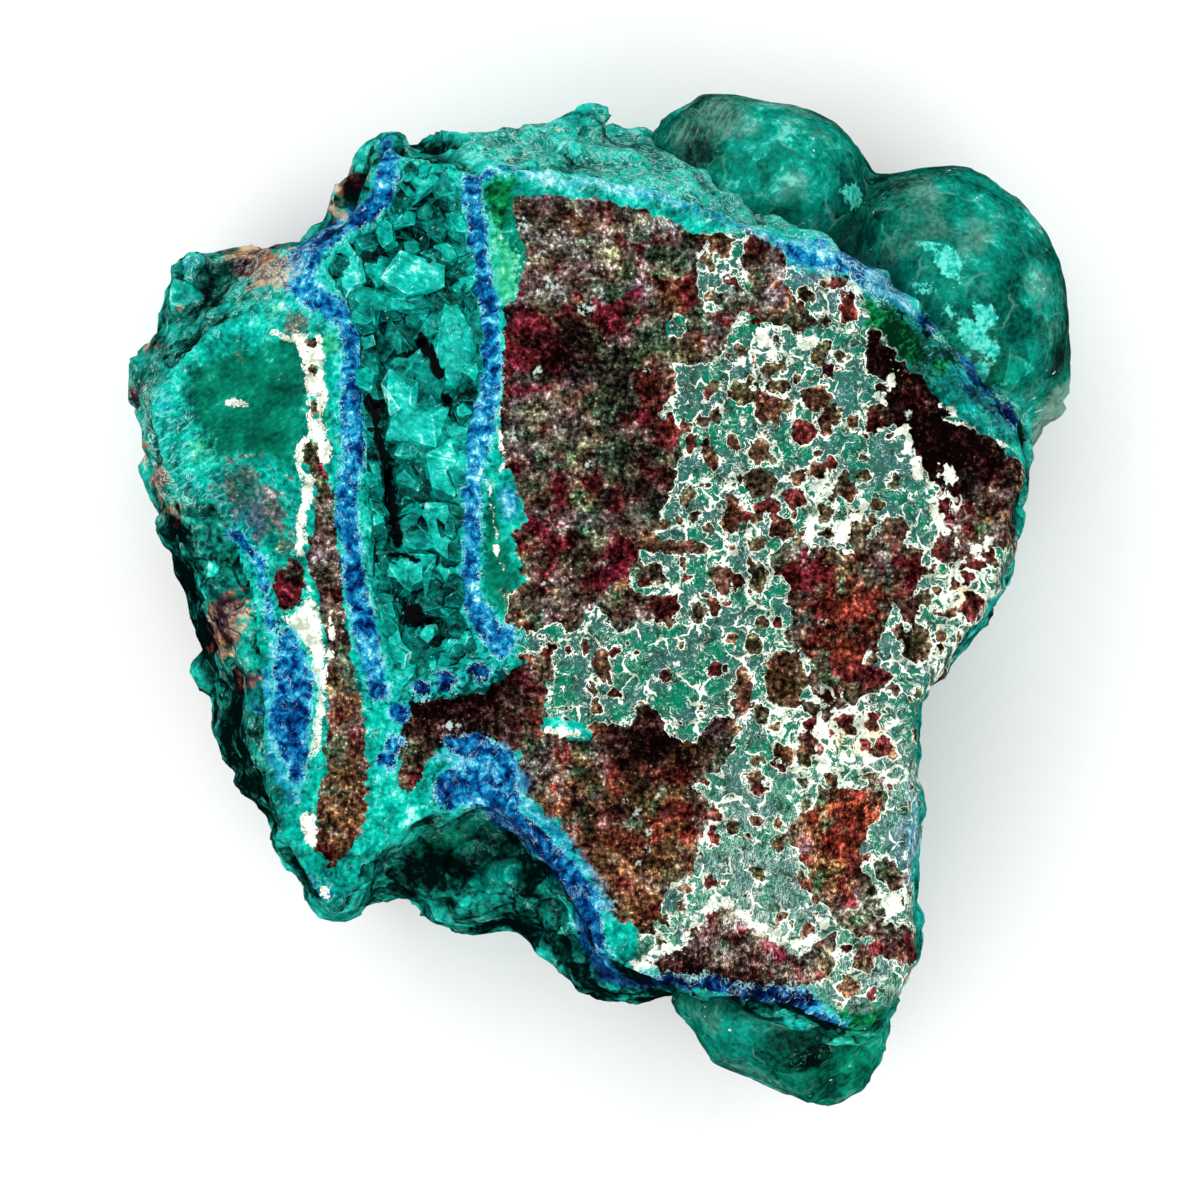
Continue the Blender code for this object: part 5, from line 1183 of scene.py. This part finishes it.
def pocket_crystals():
    """Small blocks all over the bed, a row along the wall, and the large blocks in their places."""
    draw = random.Random(SEED)
    whole = bmesh.new()
    layer = whole.faces.layers.float.new("brightness")
    low, high = (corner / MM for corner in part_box("pocket_crystal_crust"))
    for step_y in np.arange(low.y, high.y, BED_SPACING):
        for step_x in np.arange(low.x, high.x, BED_SPACING):
            spot = (step_x + draw.uniform(*BED_SHIFT), step_y + draw.uniform(*BED_SHIFT))
            sizes = (draw.uniform(*BED_SIZE), draw.uniform(*BED_SIZE))
            lean = (draw.uniform(*BED_LEAN), draw.uniform(*BED_LEAN))
            depth = draw.uniform(*BED_DEPTH)
            brightness = draw.uniform(*BED_BRIGHTNESS)
            place = np.array([spot])
            slot = max(within_band(place, route)[0] for route in SLOTS)
            if side_of(place, POCKET_MOUTH)[0] > -PAST_MOUTH:
                # A block in a gap sinks, and its near-black brightness is painted shade.
                if slot > -GAP_REACH:
                    depth, brightness = GAP_DEPTH, GAP_SHADE_BRIGHTNESS
                block = crystal_block(*spot, *sizes, draw.uniform(*ANY_TURN), depth, *lean, draw)
                add_block(whole, layer, block, brightness, draw)
    # Crystals that stand on the pocket's wall all the way round.
    for start, end in zip(POCKET_MOUTH, POCKET_MOUTH[1:] + POCKET_MOUTH[:1]):
        side = Vector(end) - Vector(start)
        inward = Vector((side.y, -side.x)).normalized()
        for share in np.arange(0, 1, WALL_SPACING / side.length):
            spot = Vector(start) + side * share + inward * draw.uniform(*WALL_SHIFT)
            sizes = (draw.uniform(*WALL_WIDTH), draw.uniform(*WALL_HEIGHT))
            lean = [WALL_LEAN * way + draw.uniform(*UNEVEN_LEAN) for way in inward]
            turn = draw.uniform(*ANY_TURN)
            block = crystal_block(*spot, *sizes, turn, draw.uniform(*WALL_DEPTH), *lean, draw)
            add_block(whole, layer, block, draw.uniform(*WALL_BRIGHTNESS), draw)
    for x, y, wide, high, turn, depth, right, up, brightness in BLOCKS:
        wide, high, right, up = (BLOCK_GAIN * size for size in (wide, high, right, up))
        block = crystal_block(x, y, wide, high, turn, depth, right, up, draw)
        add_block(whole, layer, block, brightness, draw)
    mesh = bpy.data.meshes.new("pocket crystals")
    whole.to_mesh(mesh)
    whole.free()
    # Every block ends at the lip and below the face.
    points = points_of(mesh) * MM
    for _ in range(PULL_ROUNDS):
        here = side_of(points, POCKET_MOUTH)
        slope = [
            (side_of(points + offset, POCKET_MOUTH) - here) / PULL_STEP
            for offset in ((PULL_STEP, 0, 0), (0, PULL_STEP, 0))
        ]
        points[:, :2] += np.stack(slope, axis=1) * np.clip(-LIP - here, 0, PULL_LIMIT)[:, None]
    points[:, 2] = np.minimum(points[:, 2], POCKET_TOP)
    move_points(mesh, points)
    return placed("pocket_crystals", mesh)


DIOPTASE_IOR = 1.66


def cleaved_finish():
    """Split dioptase: each facet has its own brightness, partly painted shade, and gaps painted dark as shade
    run between the blocks.
    """
    look = Finish("cleaved dioptase")
    mottle = look.noise(0.9, 4.0, 0.6, 0.2)
    grit = look.noise(3.4, 2.0, 0.6)
    run = look.noise(1.3, 3.0, 0.6, where=look.stretched(-25, 1.2, 0.3))
    value = look.add(look.times(look.attribute("brightness"), 0.86), look.swing(mottle, 1.1),
                     look.swing(grit, 0.6), look.swing(run, 0.6), -0.06)
    green = look.ramp(value, (0.0, 0, 6, 8), (0.14, 0, 40, 38), (0.32, 0, 86, 78),
                      (0.52, 0, 130, 118), (0.72, 0, 176, 160), (0.88, 40, 206, 190),
                      (1.0, 170, 232, 222))
    hair = look.ridge(look.noise(1.2, 2.0, 0.5, 0.4), 0.012)
    hair = look.times(hair, look.step(look.noise(0.8, 2.0), 0.54, 0.64), look.step(value, 0.2, 0.6))
    green = look.mix(look.times(hair, 0.6), green, paint(150, 222, 210))
    # Painted glints: small pale streaks where the split faces would catch the light.
    painted_glint = look.step(look.noise(2.4, 2.0, 0.5, where=look.stretched(50, 1.0, 0.4)), 0.68, 0.74)
    green = look.mix(look.times(painted_glint, 0.6), green, paint(160, 226, 216))
    # The gaps between the blocks are painted near black, as shade.
    jagged = look.shifted(1.5, 0.45)
    for start, end in SLOTS:
        gap = look.off_line(start[:2], end[:2], jagged)
        green = look.mix(look.step(gap, start[2] + 0.08, start[2] - 0.06), green, paint(6, 8, 10))
    look.surface(Base_Color=green, Roughness=0.2, IOR=DIOPTASE_IOR, Specular_IOR_Level=GLEAM,
                 Transmission_Weight=0.08)
    look.bump(look.add(mottle, look.times(grit, 0.5)), 0.5, 0.15)
    return look.material


crystals = pocket_crystals()
crystals.data.materials.append(cleaved_finish())
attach(crystals, "root")
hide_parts("pocket_crystal_crust")


# ---- The green lobes ----
# Rounded masses of glassy dioptase that grew on the ore's edge, two at the upper right and one at the foot.
# Knocks have left shallow shell-shaped chips on them. Each is joined to the ore along its inner side.

LOBE_GRAIN = 0.4 * MM
# Ripples where a knock took a shell-shaped chip off: (x, y) of the blow, their distance and their spacing.
SHELL_RIPPLES = [(17.5, 13, 9, 0.9), (6, 22, 6, 0.8), (19, -22, 8, 1.0)]
# Where a lobe has split into flat sides: (x, y, radius, strength).
SPLIT_PLACES = [(5.6, 27.6, 2.6, 1), (27.4, 11.6, 1.6, 0.8), (14, -28, 3, 0.5)]
LOBE_SMOOTHINGS = 4
# (height, size) of the lobes' facets, lumps and grit, and of the flats where they have split.
LOBE_FACETS = (0.04, 3.6)
LOBE_LUMPS = (0.16, 4.0)
LOBE_GRIT = (0.04, 1.0)
SPLIT_FACETS = (0.45, 2.2)
RIPPLE_HEIGHT = 0.05
# How many of its spacings a set of ripples lasts, and how far a lobe grows into the ore, in millimetres.
RIPPLE_SPREAD = 2.5
INTO_ORE = 0.45


def green_lobe(node, name, towards_ore, seed):
    """The solid lobe, smoothed, with the fine relief that knocks have left on it."""
    lobe = fine_copy(node, name, LOBE_GRAIN)
    bm = bmesh.new()
    bm.from_mesh(lobe.data)
    for _ in range(LOBE_SMOOTHINGS):
        bmesh.ops.smooth_vert(bm, verts=bm.verts[:], factor=0.5, use_axis_x=True, use_axis_y=True,
                              use_axis_z=True)
    bm.to_mesh(lobe.data)
    bm.free()
    points = points_of(lobe.data)
    normals = normals_of(lobe.data)
    inward = np.clip(normals @ np.array(towards_ore), 0, 1)
    rise = facets(points, *LOBE_FACETS, seed) + lumps(points, *LOBE_LUMPS, seed)
    rise += lumps(points, *LOBE_GRIT, seed + 1)
    rise += facets(points, *SPLIT_FACETS, seed + 2) * glow(points, SPLIT_PLACES)
    for x, y, reach, spacing in SHELL_RIPPLES:
        away = np.hypot(points[:, 0] - x, points[:, 1] - y)
        fading = np.exp(-((away - reach) / (RIPPLE_SPREAD * spacing)) ** 2)
        rise += RIPPLE_HEIGHT * np.sin(away / spacing * math.tau) * fading
    points += normals * (rise + INTO_ORE * inward)[:, None]
    move_points(lobe.data, inside_box(points))
    lobe.data.shade_smooth()
    return lobe


def lobe_finish():
    """Glassy green with flat breaks, lighter fields that are partly painted light, grey-green skin that is
    partly painted sheen, pale seams, a few bright spots and white flecks that are painted glints.
    """
    look = Finish("glassy dioptase")
    mottle = look.noise(0.8, 5.0, 0.65, 0.4)
    grit = look.noise(3.2, 3.0, 0.6)
    bent = look.shifted(0.5, 0.7, look.place)
    value = look.add(0.29, look.swing(look.noise(0.25, 4.0, 0.6, 0.4), 1.3), look.swing(mottle, 0.9),
                     look.swing(grit, 0.8), look.times(look.attribute("pale_and_lit"), 0.26),
                     look.times(look.attribute("deep"), -0.35), look.times(look.chips(0.3, bent), 0.28),
                     look.times(look.chips(1.0, bent), 0.12))
    green = look.ramp(value, (0.0, 0, 16, 16), (0.22, 0, 56, 48), (0.46, 0, 100, 84),
                      (0.68, 0, 136, 116), (0.86, 0, 168, 148), (1.0, 96, 208, 192))
    leafy = look.times(look.step(look.attribute("leafy"), 0.2, 0.8), 0.7)
    green = look.mix(leafy, green, look.product(green, (1.0, 1.04, 0.74)))
    # Grey-green skin, and finer veils of it: partly the lobes' dull skin, partly painted sheen.
    dull_skin_and_sheen = look.ramp(value, (0.1, 20, 50, 44), (0.5, 62, 116, 102), (0.8, 112, 156, 142),
                      (1.0, 176, 206, 194))
    skin = look.add(look.noise(0.3, 3.0, 0.6, where=look.elsewhere), look.times(look.attribute("veil"), 0.22))
    green = look.mix(look.times(look.step(skin, 0.52, 0.76), 0.65), green, dull_skin_and_sheen)
    veil = look.noise(0.9, 4.0, 0.7, where=look.stretched(60, 2.0, 0.3))
    veil_and_sheen_share = look.add(look.times(look.attribute("veil"), 0.20), veil)
    green = look.mix(look.times(look.step(veil_and_sheen_share, 0.70, 0.80), 0.55), green, paint(120, 158, 144))
    # Pale edges between some of the flat breaks.
    seam = look.step(look.cells(0.3, "DISTANCE_TO_EDGE", bent), 0.04, 0.0)
    seam = look.times(seam, look.step(look.noise(0.5, 2.0), 0.50, 0.62))
    green = look.mix(look.times(seam, 0.25), green, paint(130, 202, 186))
    split = look.step(look.add(look.attribute("split"), look.swing(mottle, 1.6)), -0.3, 0.3)
    flat = look.tinted(paint(150, 184, 166)[:3], look.add(1.0, look.swing(grit, 1.6)))
    green = look.mix(look.times(split, 0.5), green, flat)
    hair = look.ridge(look.noise(0.9, 3.0, 0.6, 0.8), 0.010)
    hair = look.times(hair, look.step(look.noise(0.4, 2.0), 0.50, 0.62))
    green = look.mix(look.times(hair, 0.5), green, paint(110, 204, 190))
    spot = look.add(look.attribute("spot"), look.swing(mottle, 1.8), look.swing(grit, 0.7))
    bright = look.mix(look.step(grit, 0.38, 0.62), paint(0, 170, 152), paint(96, 224, 206))
    green = look.mix(look.step(spot, -0.02, 0.16), green, bright)
    # Painted glints: small white flecks where a glassy surface would catch the light.
    fleck = look.step(look.noise(1.3, 2.0, 0.5, where=look.stretched(20, 1.2, 0.6)), 0.74, 0.77)
    green = look.mix(fleck, green, paint(216, 234, 226))
    look.surface(Base_Color=green, Roughness=0.18, IOR=DIOPTASE_IOR, Specular_IOR_Level=GLEAM,
                 Transmission_Weight=0.1)
    look.bump(look.add(mottle, look.times(grit, 0.5)), 0.4, 0.2)
    return look.material


GLASSY = lobe_finish()
# (node, the piece's name, the way to the ore, seed)
LOBES = [
    ("upper_green_lobes", "upper_lobes", (-0.6, -0.8, 0), 31),
    ("foot_green_lobe", "foot_lobe", (0.2, 0.98, 0), 47),
]
LOBE_SPOTS = [
    (15.2, 24.4, 0.85, 0.8), (20.8, 20.6, 0.9, 0.8), (21.2, 19.9, 0.8, 0.7), (19.9, 21.2, 0.5, 0.25),
    (22.8, 13.8, 0.7, 0.7), (24, 12.5, 0.6, 0.7), (21, 17.4, 0.5, 0.4), (24.9, 10.9, 0.5, 0.7),
    (23, 17.2, 0.9, 0.7), (22.4, 16, 0.9, 0.8), (23.6, 15, 0.6, 0.6), (22.2, 14.6, 0.4, 0.5),
    (19.4, 18.6, 0.5, 0.3),
]
# Soft fields of tone on the lobes, each (x, y, radius, strength).
# The lighter fields are partly the lobes' paler tone and partly painted light on sides that turn from the
# lamps.
LOBE_PALE_AND_LIT = [
    (24, 22.6, 2.4, 0.6), (10.5, 26.2, 2.6, 0.6), (22, 17.6, 2.2, 0.4), (25.8, 19, 2, 0.5),
    (26.4, 22.4, 1, 0.9), (9.4, 23.4, 2, 0.5), (24.4, 15.4, 1.6, 0.4), (12.4, 23.6, 1.4, 0.6),
    (8.2, -25.8, 1.6, 1), (10.6, -25.4, 1.2, 0.9), (16.4, -26.6, 1, 0.5), (23.4, 12, 2.8, 0.9),
    (19.6, 15.4, 1.6, 0.3), (26, 13, 2, 0.7),
]
LOBE_DEEP = [
    (6.4, 26.8, 1.2, 0.8), (14.7, 25.6, 0.9, 0.7), (14, 23.2, 0.8, 0.8), (27.9, 14.6, 0.8, 0.7),
    (17, 24.6, 1, 0.6), (13.2, -27.4, 1.8, 0.8), (14, -29.3, 0.9, 0.9), (7.4, -28.4, 1.2, 0.6),
    (20.4, 13.8, 1.2, 0.3), (16.4, 22, 1, 0.5),
]
LOBE_GREENS = [
    (22.5, 12.5, 3, 1), (19.4, 15.6, 2, 0.5), (24.6, 18, 2, 0.4), (14, -27, 4, 1), (11, 24.4, 2, 0.3),
]
# A pale flat where a piece of the right lobe came off.
SPLIT_FACE = [(25.4, 9.2), (26.6, 11.2), (27.6, 12.6), (28.6, 13.6), (28.6, 10.8), (27, 9.2), (26, 8)]
# The grey-green veils are partly the lobes' dull skin and partly painted sheen.
LOBE_SKIN_AND_SHEEN_VEILS = [
    (6.5, 29.2, 1.8, 1), (9, 28.6, 1.4, 0.8), (4.8, 27.8, 1.4, 0.8), (26.8, 11.6, 1.4, 1),
    (27.8, 16.4, 0.8, 0.7), (18.2, 23, 2, 0.5), (19.8, 25, 1.6, 0.5), (12.6, 29.4, 1.4, 0.5),
    (17.8, 20.4, 1.4, 0.5), (11, -29.6, 1.6, 0.4),
]

lobe_tones = [("pale_and_lit", LOBE_PALE_AND_LIT), ("deep", LOBE_DEEP), ("veil", LOBE_SKIN_AND_SHEEN_VEILS), ("leafy", LOBE_GREENS)]
for node, name, towards_ore, seed in LOBES:
    lobe = green_lobe(node, name, towards_ore, seed)
    places = points_of(lobe.data)
    store(lobe.data, "spot", within_spots(places, LOBE_SPOTS))
    store(lobe.data, "split", side_of(places, SPLIT_FACE))
    for tone, spots in lobe_tones:
        store(lobe.data, tone, glow(places, spots))
    lobe.data.materials.clear()
    lobe.data.materials.append(GLASSY)
    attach(lobe, "root")
    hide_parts(node)


# ---- The setting ----
# A white table lit by soft panels from the sides, so that the polished face shows its minerals and no glare.

TABLE_REACH = 1.5
# (turn, tilt, power) of the soft panels, then their size, how far off they stand, and the room's own light.
PANELS = [(-50, 48, 5.2), (40, 52, 4.1), (135, 52, 4.1), (-140, 48, 4.4)]
PANEL_SIZE = 0.9
PANEL_DISTANCE = 0.8
ROOM_LIGHT = 0.25
# The camera looks straight down, from high up, on this width of table.
CAMERA_HEIGHT = 1.5
VIEW_WIDTH = 72 * MM
SENSOR_WIDTH = 36


def white_table():
    bm = bmesh.new()
    bmesh.ops.create_grid(bm, x_segments=1, y_segments=1, size=TABLE_REACH)
    mesh = bpy.data.meshes.new("table")
    bm.to_mesh(mesh)
    bm.free()
    look = Finish("white table")
    look.surface(Base_Color=paint(250, 250, 250), Roughness=0.9)
    mesh.materials.append(look.material)
    return placed("table", mesh)


table = white_table()
table.visible_glossy = False

for turn, tilt, power in PANELS:
    panel = bpy.data.lights.new("soft panel", "AREA")
    panel.size = PANEL_SIZE
    panel.energy = power
    lamp = placed("soft panel", panel)
    lamp.visible_camera = False
    lamp.visible_glossy = False
    aim = Matrix.Rotation(math.radians(turn), 4, "Z") @ Matrix.Rotation(math.radians(tilt), 4, "X")
    lamp.matrix_world = aim @ Matrix.Translation((0, 0, PANEL_DISTANCE))

world = bpy.data.worlds.new("studio")
bpy.context.scene.world = world
world.use_nodes = True
world.node_tree.nodes["Background"].inputs["Color"].default_value = (1, 1, 1, 1)
world.node_tree.nodes["Background"].inputs["Strength"].default_value = ROOM_LIGHT
world.cycles_visibility.glossy = False
bpy.context.scene.view_settings.view_transform = "Standard"

camera = bpy.data.cameras.new("camera")
camera.sensor_width = SENSOR_WIDTH
camera.lens = camera.sensor_width * CAMERA_HEIGHT / VIEW_WIDTH
camera_stand = placed("camera", camera)
camera_stand.location = (0, 0, CAMERA_HEIGHT + FACE_Z)
bpy.context.scene.camera = camera_stand
